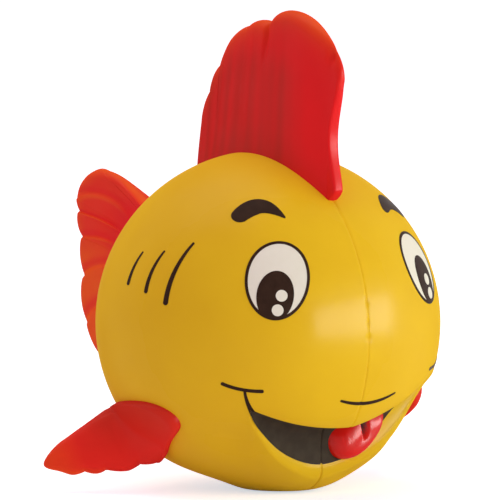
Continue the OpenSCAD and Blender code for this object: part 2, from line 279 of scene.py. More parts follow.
class NodeSheet:
    """The node tree of a material or of the world, with short ways to add nodes and join them."""

    def __init__(self, owner: bpy.types.Material | bpy.types.World) -> None:
        """Open the owner's tree."""
        owner.use_nodes = True
        self.tree = owner.node_tree

    @property
    def shader(self) -> bpy.types.Node:
        """The material's own shader."""
        return self.tree.nodes["Principled BSDF"]

    def add(self, kind: str, inputs: dict[str | int, object] | None = None,
            **settings: object) -> bpy.types.Node:
        """Add a node.

        Args:
            kind: the node's type name.
            inputs: values or output sockets for its inputs, by name or number.
            settings: properties of the node itself.

        Returns:
            The node.
        """
        node = self.tree.nodes.new(kind)
        for key, value in settings.items():
            setattr(node, key, value)
        for key, value in (inputs or {}).items():
            self.put(node.inputs[key], value)
        return node

    def put(self, socket: Socket, value: object) -> None:
        """Join an output to the socket, or set the socket's own value.

        Args:
            socket: the input socket.
            value: an output socket, or a plain value.
        """
        if isinstance(value, bpy.types.NodeSocket):
            self.tree.links.new(value, socket)
        else:
            socket.default_value = value

    def shade(self, name: str, value: object) -> None:
        """Join an output to one of the shader's inputs, or set that input's own value."""
        self.put(self.shader.inputs[name], value)

    def place(self) -> Socket:
        """Object coordinates."""
        return self.add("ShaderNodeTexCoord").outputs["Object"]

    def noise(self, scale: float, detail: float = 2.0) -> Socket:
        """Value of a noise whose grains are about 1 / scale metres wide."""
        made = self.add("ShaderNodeTexNoise", {"Vector": self.place(), "Scale": scale, "Detail": detail})
        return made.outputs["Fac"]

    def math(self, kind: str, a: Socket, b: Socket) -> Socket:
        """A sum, product or greater-of two values."""
        return self.add("ShaderNodeMath", {0: a, 1: b}, operation=kind).outputs[0]

    def spread(self, value: Socket, ends: Pair, to: Pair = (0.0, 1.0)) -> Socket:
        """Carry the values between two ends over to another range, and clamp.

        Args:
            value: the value to carry over.
            ends: its lowest and highest values.
            to: what they become.

        Returns:
            The new value.
        """
        made = self.add("ShaderNodeMapRange", {
            "Value": value, "From Min": ends[0], "From Max": ends[1], "To Min": to[0], "To Max": to[1]})
        return made.outputs["Result"]

    def blend(self, share: Socket, a: Colour | Socket, b: Colour | Socket) -> Socket:
        """Colour that goes from a to b with the share.

        Args:
            share: how far it has gone, from 0 to 1.
            a: the colour at 0.
            b: the colour at 1.

        Returns:
            The blended colour.
        """
        made = self.add("ShaderNodeMix", data_type="RGBA")
        self.put(made.inputs["Factor"], share)
        for number, colour in ((6, a), (7, b)):
            self.put(made.inputs[number], (*colour, 1.0) if isinstance(colour, tuple) else colour)
        return made.outputs[2]

    def duller_at_rim(self, rough: Socket, most: float, ends: Pair = (0.28, 0.75)) -> Socket:
        """Roughness that grows where the surface turns edge on, so that a soft skin has no pale rim.

        Args:
            rough: the roughness seen face on.
            most: how much it grows.
            ends: how far the surface is turned where the growth starts and ends.

        Returns:
            The new roughness.
        """
        facing = self.add("ShaderNodeLayerWeight", {"Blend": 0.5}).outputs["Facing"]
        return self.math("ADD", rough, self.spread(facing, ends, (0.0, most)))

    def value(self, name: str) -> Socket:
        """A point value of the piece."""
        return self.add("ShaderNodeAttribute", attribute_name=name).outputs["Fac"]

    def relief(self, height: Socket, strength: float, depth: float, over: Socket | None = None) -> Socket:
        """Bump made from a height.

        Args:
            height: the height, from 0 to 1.
            strength: how much of the bump is used.
            depth: its depth in metres.
            over: another bump that it lies on.

        Returns:
            The bent normal.
        """
        made = self.add("ShaderNodeBump", {"Height": height, "Strength": strength, "Distance": depth})
        if over is not None:
            self.put(made.inputs["Normal"], over)
        return made.outputs["Normal"]

    def seen(self) -> Socket:
        """One for rays of the camera, of gloss and through glass, nought for the rest.

        Returns:
            The greatest of the three.
        """
        path = self.add("ShaderNodeLightPath").outputs
        mirrored = self.math("MAXIMUM", path["Is Camera Ray"], path["Is Glossy Ray"])
        return self.math("MAXIMUM", mirrored, path["Is Transmission Ray"])

    def show(self, output: str, light: Socket, shown: Socket) -> None:
        """Use one shader for the light that it gives, and another where the eye or a reflection meets it.

        Args:
            output: name of the tree's output node.
            light: the shader that gives light.
            shown: the shader that is seen.
        """
        pick = self.add("ShaderNodeMixShader", {0: self.seen(), 1: light, 2: shown})
        self.put(self.tree.nodes[output].inputs["Surface"], pick.outputs[0])


@dataclass(frozen=True)
class FoamSkin:
    """Satin skin of moulded foam: even colour with a faint mottle, fine grain and a few pinholes.

    Where a piece has the point value rim, the paint is thin there and the tone under it shows; on the tail
    it also paints highlight on the ridges and shade in the creases. Where it has the point value
    worn, painted shade darkens the paint. A scale is one over the width of its marks in metres.
    """

    name: str
    tone: Colour
    mottle: Colour
    rim: Colour | None = None
    worn: Colour | None = None
    rough: Pair = (0.2, 0.26)
    specular: float = 0.07
    mottle_scale: float = 70.0
    rim_scale: float = 240.0
    gloss_scale: float = 160.0
    grain_scale: float = 1500.0
    pit_scale: float = 210.0
    relief_depth: float = 0.00006

    def colour(self, sheet: NodeSheet) -> Socket:
        """Mottled tone, then the painted shade and the thin paint over it.

        Args:
            sheet: the material's nodes.

        Returns:
            The colour.
        """
        share = sheet.spread(sheet.noise(self.mottle_scale, 3.0), (0.35, 0.7))
        colour = sheet.blend(share, self.tone, self.mottle)
        # Painted shade on the fins, as a darker tone.
        if self.worn:
            colour = sheet.blend(sheet.value("worn"), colour, self.worn)
        # Thin paint shows the orange tone; on the tail's ridges this is also painted highlight.
        if self.rim:
            thin = sheet.spread(sheet.noise(self.rim_scale), (0.2, 0.8), (0.75, 1.0))
            colour = sheet.blend(sheet.math("MULTIPLY", sheet.value("rim"), thin), colour, self.rim)
        return colour

    def material(self) -> Material:
        """Build the material.

        Returns:
            The new material.
        """
        made = bpy.data.materials.new(self.name)
        sheet = NodeSheet(made)
        sheet.shade("Base Color", self.colour(sheet))
        rough = sheet.spread(sheet.noise(self.gloss_scale, 3.0), (0.3, 0.7), self.rough)
        sheet.shade("Roughness", sheet.duller_at_rim(rough, 0.6))
        grain = sheet.relief(sheet.noise(self.grain_scale), 0.12, self.relief_depth)
        cells = sheet.add("ShaderNodeTexVoronoi", {"Vector": sheet.place(), "Scale": self.pit_scale})
        pits = sheet.spread(cells.outputs["Distance"], (0.02, 0.1))
        sheet.shade("Normal", sheet.relief(pits, 0.06, self.relief_depth, over=grain))
        sheet.shade("Specular IOR Level", self.specular)
        return made


@dataclass(frozen=True)
class PrintInk:
    """Layer of ink or paint: its tone, a thinner tone where it lies thin, and a slight orange peel.

    Where a piece has the point value cleft, a dark colour paints the shade in the tongue's cut.
    """

    name: str
    tone: Colour
    thin: Colour
    rough: Pair = (0.4, 0.5)
    specular: float = 0.05
    cleft: Colour | None = None
    thin_scale: float = 420.0
    gloss_scale: float = 300.0
    peel_scale: float = 1300.0
    peel_depth: float = 0.00005

    def material(self) -> Material:
        """Build the material.

        Returns:
            The new material.
        """
        made = bpy.data.materials.new(self.name)
        sheet = NodeSheet(made)
        share = sheet.spread(sheet.noise(self.thin_scale, 3.0), (0.35, 0.75))
        colour = sheet.blend(share, self.tone, self.thin)
        # Painted shade: a dark colour in the tongue's cleft.
        if self.cleft:
            colour = sheet.blend(sheet.value("cleft"), colour, self.cleft)
        sheet.shade("Base Color", colour)
        sheet.shade("Roughness", sheet.spread(sheet.noise(self.gloss_scale), (0.3, 0.7), self.rough))
        sheet.shade("Normal", sheet.relief(sheet.noise(self.peel_scale), 0.1, self.peel_depth))
        sheet.shade("Specular IOR Level", self.specular)
        return made


YELLOW_FOAM = FoamSkin("yellow_foam_skin", (0.86, 0.56, 0.017), (0.83, 0.525, 0.017))
# Its darker tone is painted shade on the fins; its orange tone is thin paint, and painted highlight on the
# tail's ridges.
RED_FOAM = FoamSkin(
    "red_foam_skin", (0.88, 0.014, 0.017), (0.81, 0.015, 0.018), rim=(0.95, 0.14, 0.012),
    worn=(0.56, 0.022, 0.016), rough=(0.28, 0.36), specular=0.08)
MOUTH_PAINT = PrintInk(
    "mouth_paint", (0.050, 0.038, 0.029), (0.068, 0.052, 0.038), rough=(0.6, 0.72), specular=0.03)
# Its cleft colour is painted shade in the tongue's cleft.
TONGUE_PAINT = PrintInk(
    "tongue_paint", (0.83, 0.012, 0.008), (0.79, 0.014, 0.010), rough=(0.17, 0.23), specular=0.19,
    cleft=(0.085, 0.07, 0.075))
BROWN_INK = PrintInk("brown_ink", (0.030, 0.014, 0.009), (0.045, 0.022, 0.014))
WHITE_INK = PrintInk("white_ink", (0.88, 0.88, 0.79), (0.90, 0.90, 0.82))


@dataclass(frozen=True)
class Dent:
    """Soft hollow in the ball: its depth, its place by bearing and rise, and its reach each way."""

    deep: float
    bearing: float
    rise: float
    bearing_reach: float
    rise_reach: float

    def depth(self, turn: Array, rise: Array) -> Array:
        """Depth of the hollow: one bell by bearing times another by rise."""
        beside = bell(turn, self.bearing, self.bearing_reach)
        return self.deep * beside * bell(rise, self.rise, self.rise_reach)


@dataclass(frozen=True)
class Skin:
    """Surface of the ball, by bearing and rise in degrees: a sphere with a mouth and cheeks pressed in.

    Bearing 0 is the face and grows towards the fish's left; rise is measured up from the ball's equator.
    Pairs for the mouth's corners, halves and bends give the fish's right first, and the pair for the lips'
    rounding gives the upper lip first.
    """

    radius: float = 33.0
    belly_cut: float = 1.3
    middle_top: float = -33.4
    middle_low: float = -56.0
    corners: Pair = (-24.3, -16.0)
    halves: Pair = (42.0, 45.0)
    bends: Pair = (2.3, 1.2)
    lower_bend: float = 0.6
    least_opening: float = 0.5
    mouth_deep: float = 5.6
    mouth_powers: Pair = (0.7, 0.8)
    rounding: Pair = (0.7, 1.7)
    rounding_reach: Pair = (2.5, 5.0)
    rounding_power: float = 1.3
    lip_roll: Pair = (1.1, 1.4)
    lip_bead: Triple = (0.12, 3.2, 1.6)
    left_bead: Triple = (4.0, 15.0, 15.0)
    cheek: Dent = Dent(1.1, 50.0, -38.0, 14.0, 9.0)
    left_hollow: Dent = Dent(1.7, 54.0, -27.0, 14.0, 9.0)
    hollow_span: float = 5.0
    chin: Dent = Dent(0.9, 0.0, -64.0, 34.0, 7.5)
    taper: Triple = (1.6, -70.0, 14.0)
    taper_full: float = 1.4
    parting_deep: float = 0.15
    parting_half: float = 0.2
    mouth_line_span: float = 2.0
    pits: tuple[float, ...] = (11.5, 4.8, -0.4)
    pit_deep: float = 0.22
    pit_tall: float = 0.8
    pit_across: Pair = (0.12, 0.4)

    @property
    def centre(self) -> Array:
        """Middle of the ball."""
        return np.array([0.0, 0.0, self.radius - self.belly_cut])

    @property
    def height(self) -> float:
        """Height of the ball over its flat belly."""
        return 2.0 * self.radius - self.belly_cut

    @property
    def per_mm(self) -> float:
        """Degrees of arc that a millimetre on the ball takes up."""
        return 180.0 / (np.pi * self.radius)

    def aim(self, bearing: Array, rise: Array) -> Array:
        """Unit vectors from the middle of the ball."""
        b, r = np.radians(bearing), np.radians(rise)
        return np.stack([np.cos(r) * np.sin(b), -np.cos(r) * np.cos(b), np.sin(r)], axis=-1)

    def lips(self, bearing: Array) -> tuple[Array, Array, Array]:
        """Rises of the upper and lower lip, and how open the mouth is.

        Each lip runs from its middle to the corner on that side, as a power of the way to the corner.
        Past the left corner the corner's rise goes over to the right one's, round the back.

        Args:
            bearing: bearings in degrees.

        Returns:
            Upper lip, lower lip, and the opening from 1 in the middle to 0 at the corners.
        """
        left = bearing > 0
        way = np.minimum(np.abs(bearing) / np.where(left, self.halves[1], self.halves[0]), 1.0)
        past = np.maximum(0.0, (bearing - self.halves[1]) / (360.0 - sum(self.halves)))
        corner = mix(np.where(left, self.corners[1], self.corners[0]), self.corners[0], past)
        opening = 1.0 - way**2
        top = mix(self.middle_top, corner, way ** np.where(left, self.bends[1], self.bends[0]))
        low = mix(corner, self.middle_low, opening**self.lower_bend)
        return top, np.minimum(low, top - self.least_opening), opening

    def share_to_rise(self, bearing: Array, share: Array) -> Array:
        """Rise at a share of the way from the upper to the lower lip."""
        top, low, _ = self.lips(bearing)
        return mix(top, low, share)

    def mouth_depth(self, bearing: Array, rise: Array) -> Array:
        """Depth of the mouth: a sine of the way between the lips, which round off above and below it.

        Under the lower lip a low bead follows, higher on the fish's left.

        Args:
            bearing: bearings in degrees.
            rise: rises in degrees.

        Returns:
            Depth under the sphere in millimetres.
        """
        top, low, opening = self.lips(bearing)
        share = (top - rise) / (top - low)
        fading = np.sqrt(opening)
        above = fading * self.rounding[0] * np.exp(-np.maximum(rise - top, 0.0) / self.rounding_reach[0])
        under = np.maximum(low - rise, 0.0)
        roll, roll_reach = self.lip_roll
        below = np.exp(-((under / self.rounding_reach[1]) ** self.rounding_power))
        below = (self.rounding[1] - roll) * below
        bead, bead_at, bead_reach = self.lip_bead
        bead = bead * fade(bearing, *self.left_bead) * bell(under, bead_at, bead_reach)
        below = fading * (below + roll * np.exp(-under / roll_reach) - bead)
        hollow = np.sin(np.pi * np.clip(share, 0.0, 1.0)).clip(0.0) ** self.mouth_powers[1]
        inside = fading * mix(*self.rounding, share)
        inside = inside + self.mouth_deep * opening ** self.mouth_powers[0] * hollow
        return np.where(share <= 0, above, np.where(share >= 1, below, inside))

    def cheek_depth(self, bearing: Array, rise: Array) -> Array:
        """Soft hollow behind each corner of the mouth; on the left another one follows on under the lip.

        Args:
            bearing: bearings in degrees.
            rise: rises in degrees.

        Returns:
            Depth in millimetres.
        """
        turn = wrapped(bearing)
        under_lip = ease(self.lips(bearing)[0] - rise, 0.0, self.hollow_span)
        return self.cheek.depth(np.abs(turn), rise) + self.left_hollow.depth(turn, rise) * under_lip

    def taper_depth(self, bearing: Array, rise: Array) -> Array:
        """Taper of the sides and back down to the flat belly; the chin is fuller and drops straight.

        Args:
            bearing: bearings in degrees.
            rise: rises in degrees.

        Returns:
            Depth in millimetres.
        """
        deep, middle, reach = self.taper
        turned = np.clip((1.0 - np.cos(np.radians(bearing))) / self.taper_full, 0.0, 1.0)
        return deep * bell(rise, middle, reach) * turned - self.chin.depth(wrapped(bearing), rise)

    def parting_depth(self, bearing: Array, rise: Array) -> Array:
        """Fine groove of the mould's parting line, down the face and the back, with a few pits on the face.

        Args:
            bearing: bearings in degrees.
            rise: rises in degrees.

        Returns:
            Depth in millimetres.
        """
        turn = np.minimum(np.abs(bearing), np.abs(bearing - 180.0))
        across = np.radians(turn) * self.radius * np.cos(np.radians(rise))
        pitted = sum(bell(rise, pit, self.pit_tall) for pit in self.pits) * (np.abs(bearing) < 90.0)
        in_mouth = 1.0 + ease(self.lips(bearing)[0] - rise, 0.0, self.mouth_line_span)
        line = self.parting_deep * in_mouth * bell(across, 0.0, self.parting_half)
        return line + self.pit_deep * pitted * bell(across, *self.pit_across)

    def point(self, bearing: Array, rise: Array, lift: Array | float = 0.0) -> Array:
        """Points on the skin or that far above it.

        Args:
            bearing: bearings in degrees.
            rise: rises in degrees.
            lift: height over the skin in millimetres.

        Returns:
            Points in millimetres.
        """
        depths = (self.mouth_depth, self.cheek_depth, self.taper_depth, self.parting_depth)
        reach = self.radius - sum(depth(bearing, rise) for depth in depths) + lift
        return self.centre + reach[..., None] * self.aim(bearing, rise)

    def layer(self, bearing: Array, rise: Array, lift: Array | float, sink: float,
              values: dict[str, Array] | None = None) -> Shell:
        """Closed layer that follows the skin.

        Args:
            bearing: bearings of its grid in degrees.
            rise: rises of its grid in degrees.
            lift: height of its top over the skin.
            sink: depth of its bottom under the skin.
            values: point values on the grid.

        Returns:
            The shell.
        """
        return slab(self.point(bearing, rise, lift), self.point(bearing, rise, -sink), values)


SKIN = Skin()


def dress(piece: bpy.types.Object, slot: Slot, *nodes: str) -> None:
    """Hide the CAD nodes that the piece stands for."""
    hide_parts(*nodes)


def on_foam(piece: bpy.types.Object) -> None:
    """Carry the piece on the body, with a mesh of its own.

    Args:
        piece: a piece of the ball, of its mouth or of its prints.
    """
    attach(piece, "body")
    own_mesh(piece)


@dataclass
class FoamBody:
    """The ball-shaped body, on a grid of bearings and of rises that follow the lips.

    The spread of bearings on the face and on each side of the back gives first, last and step.
    """

    line_bearings: tuple[float, ...] = (0.0, 0.12, 0.24, 0.36, 0.5, 0.66, 0.9)
    face_bearings: Triple = (1.5, 58.6, 0.75)
    left_bearings: Triple = (61.0, 178.0, 2.25)
    right_bearings: Triple = (182.75, 300.0, 2.25)
    head_rows: int = 150
    head_power: float = 1.3
    mouth_rows: int = 44
    chin_rows: int = 64
    chin_power: float = 1.4
    belly_round: float = 0.3
    line_gap: float = 6.0

    def bearings(self) -> Array:
        """Bearings round the ball, close together at the face and closest at the parting line.

        Returns:
            Bearings in degrees, from the right cheek over the face and round the back.
        """
        half_line = np.array(self.line_bearings)
        line = np.concatenate([-half_line[:0:-1], half_line])
        face = np.arange(*self.face_bearings)
        left, right = np.arange(*self.left_bearings), np.arange(*self.right_bearings)
        return np.concatenate([-face[::-1], line, face, left, 180.0 + line, right])

    def rises(self, bearing: Array) -> Array:
        """Rises down each column: head, mouth and chin, with the rows close together at the lips.

        Args:
            bearing: the columns' bearings in degrees.

        Returns:
            Rises in degrees, one row for each column of the ball.
        """
        top, low, _ = SKIN.lips(bearing)
        low = np.minimum(low, top - self.line_gap)
        head = 1.0 - (1.0 - np.arange(1, self.head_rows + 1) / self.head_rows) ** self.head_power
        mouth = crowded_line(self.mouth_rows + 1)[1:]
        chin = (np.arange(1, self.chin_rows) / self.chin_rows) ** self.chin_power
        return np.concatenate([
            mix(90.0, top[:, None], head), mix(top[:, None], low[:, None], mouth),
            mix(low[:, None], -90.0, chin)], axis=1)

    def shell(self) -> Shell:
        """Skin over the whole grid, with the belly pressed flat by a soft greater-of height and nought.

        Returns:
            The closed shell.
        """
        bearing = self.bearings()
        rise = self.rises(bearing)
        points = SKIN.point(np.broadcast_to(bearing[:, None], rise.shape), rise)
        cols, rows, _ = points.shape
        ends = SKIN.centre + np.array([[0.0, 0.0, SKIN.radius], [0.0, 0.0, -SKIN.radius]])
        points = np.concatenate([points.reshape(-1, 3), ends])
        height = points[:, 2]
        points[:, 2] = 0.5 * (height + np.sqrt(height**2 + self.belly_round**2))
        top = np.arange(cols) * rows
        caps = np.concatenate([fan(top[::-1], cols * rows), fan(top + rows - 1, cols * rows + 1)])
        return Shell(points, grid_quads(cols, rows, wrap_rows=True), caps)

    def build(self) -> None:
        """Make the body piece."""
        made = self.shell().piece("foam_ball", YELLOW_FOAM.material())
        dress(made, Slot.YELLOW_SKIN, "foam_body")
        on_foam(made)


@dataclass
class Mouth:
    """Dark paint inside the mouth, and the tongue that lies in its left half.

    Shares count from the upper lip to the lower one. The tongue's own places across and down go from
    -1 to 1.
    """

    paint_ends: Pair = (-41.9, 40.2)
    paint_shares: Pair = (0.02, 0.985)
    paint_grid: tuple[int, int] = (150, 44)
    seam_columns: tuple[float, int] = (1.2, 17)
    left_slant: Triple = (0.3, 24.0, 16.0)
    paint_lift: float = 0.1
    end_lift: Pair = (0.25, 3.0)
    paint_sink: float = 0.1
    tongue_grid: int = 72
    tongue_middle: Pair = (18.7, 0.73)
    tongue_half: Pair = (13.9, 0.26)
    tongue_slope: float = -0.004
    tongue_rise: float = 4.3
    tongue_edge: float = 0.3
    tongue_sink: float = 0.8
    roundness: Pair = (0.75, 0.95)
    crease_bearing: float = 21.5
    crease_tip: float = -0.1
    crease_width: Pair = (0.5, 1.9)
    crease_length: float = 1.1
    crease_fade: Pair = (0.15, 0.3)
    crease_steepness: float = 1.6
    cleft_span: Pair = (0.12, 0.2)
    valley: Pair = (0.34, 7.5)
    valley_span: Pair = (0.7, -0.9)
    ripple: Triple = (0.08, 10.4, 6.5)
    ripple_bearing: Pair = (14.5, 5.0)
    ripple_down: Pair = (-0.42, 0.3)

    def paint(self) -> Shell:
        """Thin sheet on the skin between the lips; on the left its lower edge slants up to its end.

        Returns:
            The closed shell.
        """
        columns, rows = self.paint_grid
        seam_half, seam_count = self.seam_columns
        seam = np.linspace(-seam_half, seam_half, seam_count)
        bearing = np.union1d(mix(*self.paint_ends, crowded_line(columns)), seam)[:, None]
        slant, *slant_span = self.left_slant
        low = self.paint_shares[1] - slant * ease(bearing, *slant_span)
        share = mix(self.paint_shares[0], low, crowded_line(rows)[None, :])
        bearing = np.broadcast_to(bearing, share.shape)
        raised, reach = self.end_lift
        lift = self.paint_lift + raised * bell(bearing, self.paint_ends[0], reach)
        return SKIN.layer(bearing, SKIN.share_to_rise(bearing, share), lift, self.paint_sink)

    def wedge(self, bearing: Array, down: Array) -> Array:
        """Cut of the tongue's cleft: a bell by bearing, wider towards the upper lip and gone past its tip.

        Args:
            bearing: bearings in degrees.
            down: places down the tongue.

        Returns:
            The cut, from 0 to 1.
        """
        least, more = self.crease_width
        width = least + more * np.clip((self.crease_tip - down) / self.crease_length, 0.0, 1.0)
        ahead, length = self.crease_fade
        return bell(bearing, self.crease_bearing, 1.0) ** (1.0 / width) * ease(
            down, self.crease_tip + ahead, -length)

    def tongue(self) -> Shell:
        """Dome over a slanted oval of bearing and lip share, cut by a wedge in a wide valley.

        The dome is one less x squared, to a power, times the like for y; a faint ripple lies on its right.

        Returns:
            The closed shell, with the point value cleft that paints shade in the cut.
        """
        x, y, across, down = round_grid(self.tongue_grid)
        bearing = self.tongue_middle[0] + self.tongue_half[0] * across
        middle = self.tongue_middle[1] + self.tongue_slope * (bearing - self.tongue_middle[0])
        rise = SKIN.share_to_rise(bearing, middle + self.tongue_half[1] * down)
        dome = (1.0 - x**2) ** self.roundness[0] * (1.0 - y**2) ** self.roundness[1]
        wedge = self.wedge(bearing, down)
        deep, reach = self.valley
        valley = 1.0 - deep * bell(bearing, self.crease_bearing, reach) * ease(down, *self.valley_span)
        uncut = 1.0 - np.minimum(self.crease_steepness * wedge, 1.0)
        lift = (self.tongue_rise + self.tongue_edge) * dome * valley * uncut - self.tongue_edge
        high, start, pitch = self.ripple
        wave = high * np.cos(2.0 * np.pi * (bearing - start) / pitch)
        lift = lift + wave * bell(bearing, *self.ripple_bearing) * bell(down, *self.ripple_down)
        # Painted shade in the cleft, where the wedge cuts deep.
        dark = {"cleft": ease(wedge, *self.cleft_span)}
        return SKIN.layer(bearing, rise, lift, self.tongue_sink, dark)

    def build(self) -> None:
        """Make the two pieces."""
        paint = self.paint().piece("mouth_paint_layer", MOUTH_PAINT.material(), crisp=True)
        dress(paint, Slot.MOUTH_PAINT, "mouth_lining")
        tongue = self.tongue().piece("tongue_pad", TONGUE_PAINT.material())
        dress(tongue, Slot.TONGUE_PAINT, "tongue")
        for made in (paint, tongue):
            on_foam(made)


@dataclass(frozen=True)
class Stroke:
    """A brush stroke on the skin: a bent line of three places by bearing and rise, and widths along it."""

    line: tuple[Pair, Pair, Pair]
    widths: Triple
    steps: int = 60
    across: int = 9
    lift: float = 0.07
    sink: float = 0.08
    least_half: float = 0.01

    def mirrored(self) -> "Stroke":
        """The same stroke on the fish's other side."""
        return replace(self, line=tuple((-bearing, rise) for bearing, rise in self.line))

    def shell(self) -> Shell:
        """Thin slab along a quadratic curve, its ends rounded by half its width.

        Returns:
            The closed shell.
        """
        t = crowded_line(self.steps)[:, None]
        a, b, c = (np.array(place) for place in self.line)
        middle = bend(a, b, c, t)
        shrink = np.cos(np.radians(middle[:, 1:]))
        level = np.concatenate([shrink, np.ones_like(shrink)], axis=1)
        run = mix(b - a, c - b, t) * level
        run = run / np.linalg.norm(run, axis=1, keepdims=True)
        steps = np.linalg.norm(np.diff(middle * level, axis=0), axis=1)
        gone = np.concatenate([[0.0], np.cumsum(steps)])[:, None] / SKIN.per_mm
        half = 0.5 * bend(*self.widths, t)
        near = np.minimum(np.minimum(gone, gone[-1] - gone) / half, 1.0)
        half = half * np.sqrt(np.maximum(0.0, 1.0 - (1.0 - near) ** 2)) + self.least_half
        aside = np.linspace(-1.0, 1.0, self.across)[None, :] * half * SKIN.per_mm
        bearing = middle[:, :1] - aside * run[:, 1:] / shrink
        return SKIN.layer(bearing, middle[:, 1:] + aside * run[:, :1], self.lift, self.sink)


@dataclass(frozen=True)
class Eye:
    """One printed eye, drawn for the fish's right side with its top leaning to the nose.

    Each print has its own lift, so that the layers lie on each other.
    """

    side: Side
    at: Pair = (-32.2, 20.3)
    half: Pair = (6.2, 7.85)
    lean: float = 9.0
    ring: float = 0.58
    ring_tuck: float = 0.3
    ring_points: int = 96
    ring_lift: float = 0.08
    pupil_at: Pair = (0.0, -3.2)
    pupil_half: Pair = (3.55, 4.9)
    spots: tuple[Pair, Pair] = ((1.2, -3.0), (0.85, -5.85))
    spot_half: float = 1.12
    white_lift: float = 0.05
    pupil_lift: float = 0.1
    spot_lift: float = 0.15
    thick: float = 0.15
    disc_grid: int = 41

    def skin_place(self, across: Array, up: Array) -> tuple[Array, Array]:
        """Bearings and rises, from millimetres across and up in the leaning eye's own plane.

        Args:
            across: places across the eye, + to the nose.
            up: places up the eye.

        Returns:
            Bearings and rises in degrees.
        """
        lean = np.radians(self.lean)
        x = across * np.cos(lean) + up * np.sin(lean)
        y = up * np.cos(lean) - across * np.sin(lean)
        rise = self.at[1] + y * SKIN.per_mm
        bearing = self.at[0] + x * SKIN.per_mm / np.cos(np.radians(rise))
        return -self.side.value * bearing, rise

    def disc(self, middle: Pair, half: Pair, lift: float, keep_in: Pair | None = None) -> Shell:
        """Thin oval, as a square grid drawn out to a disc and then to the oval.

        A spoke that leaves the oval it's kept in is cut where it meets that oval, by the quadratic formula.

        Args:
            middle: middle of the oval in the eye's plane.
            half: its half sizes.
            lift: height of its top over the skin.
            keep_in: half sizes of an oval round the eye's middle that it's cut off by.

        Returns:
            The closed shell.
        """
        _, _, u, v = round_grid(self.disc_grid)
        if keep_in:
            spoke = np.maximum(np.hypot(u, v), 1e-6)
            du, dv = half[0] * u / spoke, half[1] * v / spoke
            a = (du / keep_in[0]) ** 2 + (dv / keep_in[1]) ** 2 + 1e-12
            b = middle[0] * du / keep_in[0] ** 2 + middle[1] * dv / keep_in[1] ** 2
            c = (middle[0] / keep_in[0]) ** 2 + (middle[1] / keep_in[1]) ** 2 - 1.0
            reach = np.minimum(1.0, (np.sqrt(np.maximum(b**2 - a * c, 0.0)) - b) / a)
            u, v = u * reach, v * reach
        place = self.skin_place(half[0] * u + middle[0], half[1] * v + middle[1])
        return SKIN.layer(*place, lift, self.thick - lift)

    def outline(self) -> Shell:
        """Ring of ink round the eye, as a small square section carried round it.

        Returns:
            The closed shell.
        """
        turn = np.linspace(0.0, 2.0 * np.pi, self.ring_points, endpoint=False)[:, None]
        inset = np.array([[0.0, 0.0, self.ring, self.ring]])
        across, up = (self.half[0] - inset) * np.cos(turn), (self.half[1] - inset) * np.sin(turn)
        place = self.skin_place(across, up)
        loops = SKIN.point(*place, self.ring_lift * np.array([[-1.0, 1.0, 1.0, -1.0]]))
        return Shell(loops.reshape(-1, 3), grid_quads(self.ring_points, 4, wrap_rows=True, wrap_cols=True))

    def build(self, brown: Material, white: Material) -> None:
        """Make the ring, the white, the pupil and its two spots.

        Args:
            brown: ink of the ring and pupil.
            white: ink of the white and the spots.
        """
        side = self.side.name.lower()
        tuck = self.ring_tuck * self.ring
        inner = (self.half[0] - tuck, self.half[1] - tuck)
        eye_white = self.disc((0.0, 0.0), inner, self.white_lift)
        pupil = self.disc(self.pupil_at, self.pupil_half, self.pupil_lift, inner)
        spots = joined([self.disc(spot, (self.spot_half,) * 2, self.spot_lift) for spot in self.spots])
        parts = [
            ("eye_ring", self.outline(), brown, Slot.BROWN_INK, "eye_outline"),
            ("eye_white_print", eye_white, white, Slot.WHITE_INK, "eye_white"),
            ("pupil_print", pupil, brown, Slot.BROWN_INK, "pupil"),
            ("pupil_spots", spots, white, Slot.WHITE_INK, "catchlights")]
        for name, shell, material, slot, node in parts:
            made = shell.piece(f"{side}_{name}", material, crisp=True)
            dress(made, slot, f"{side}_{node}")
            on_foam(made)


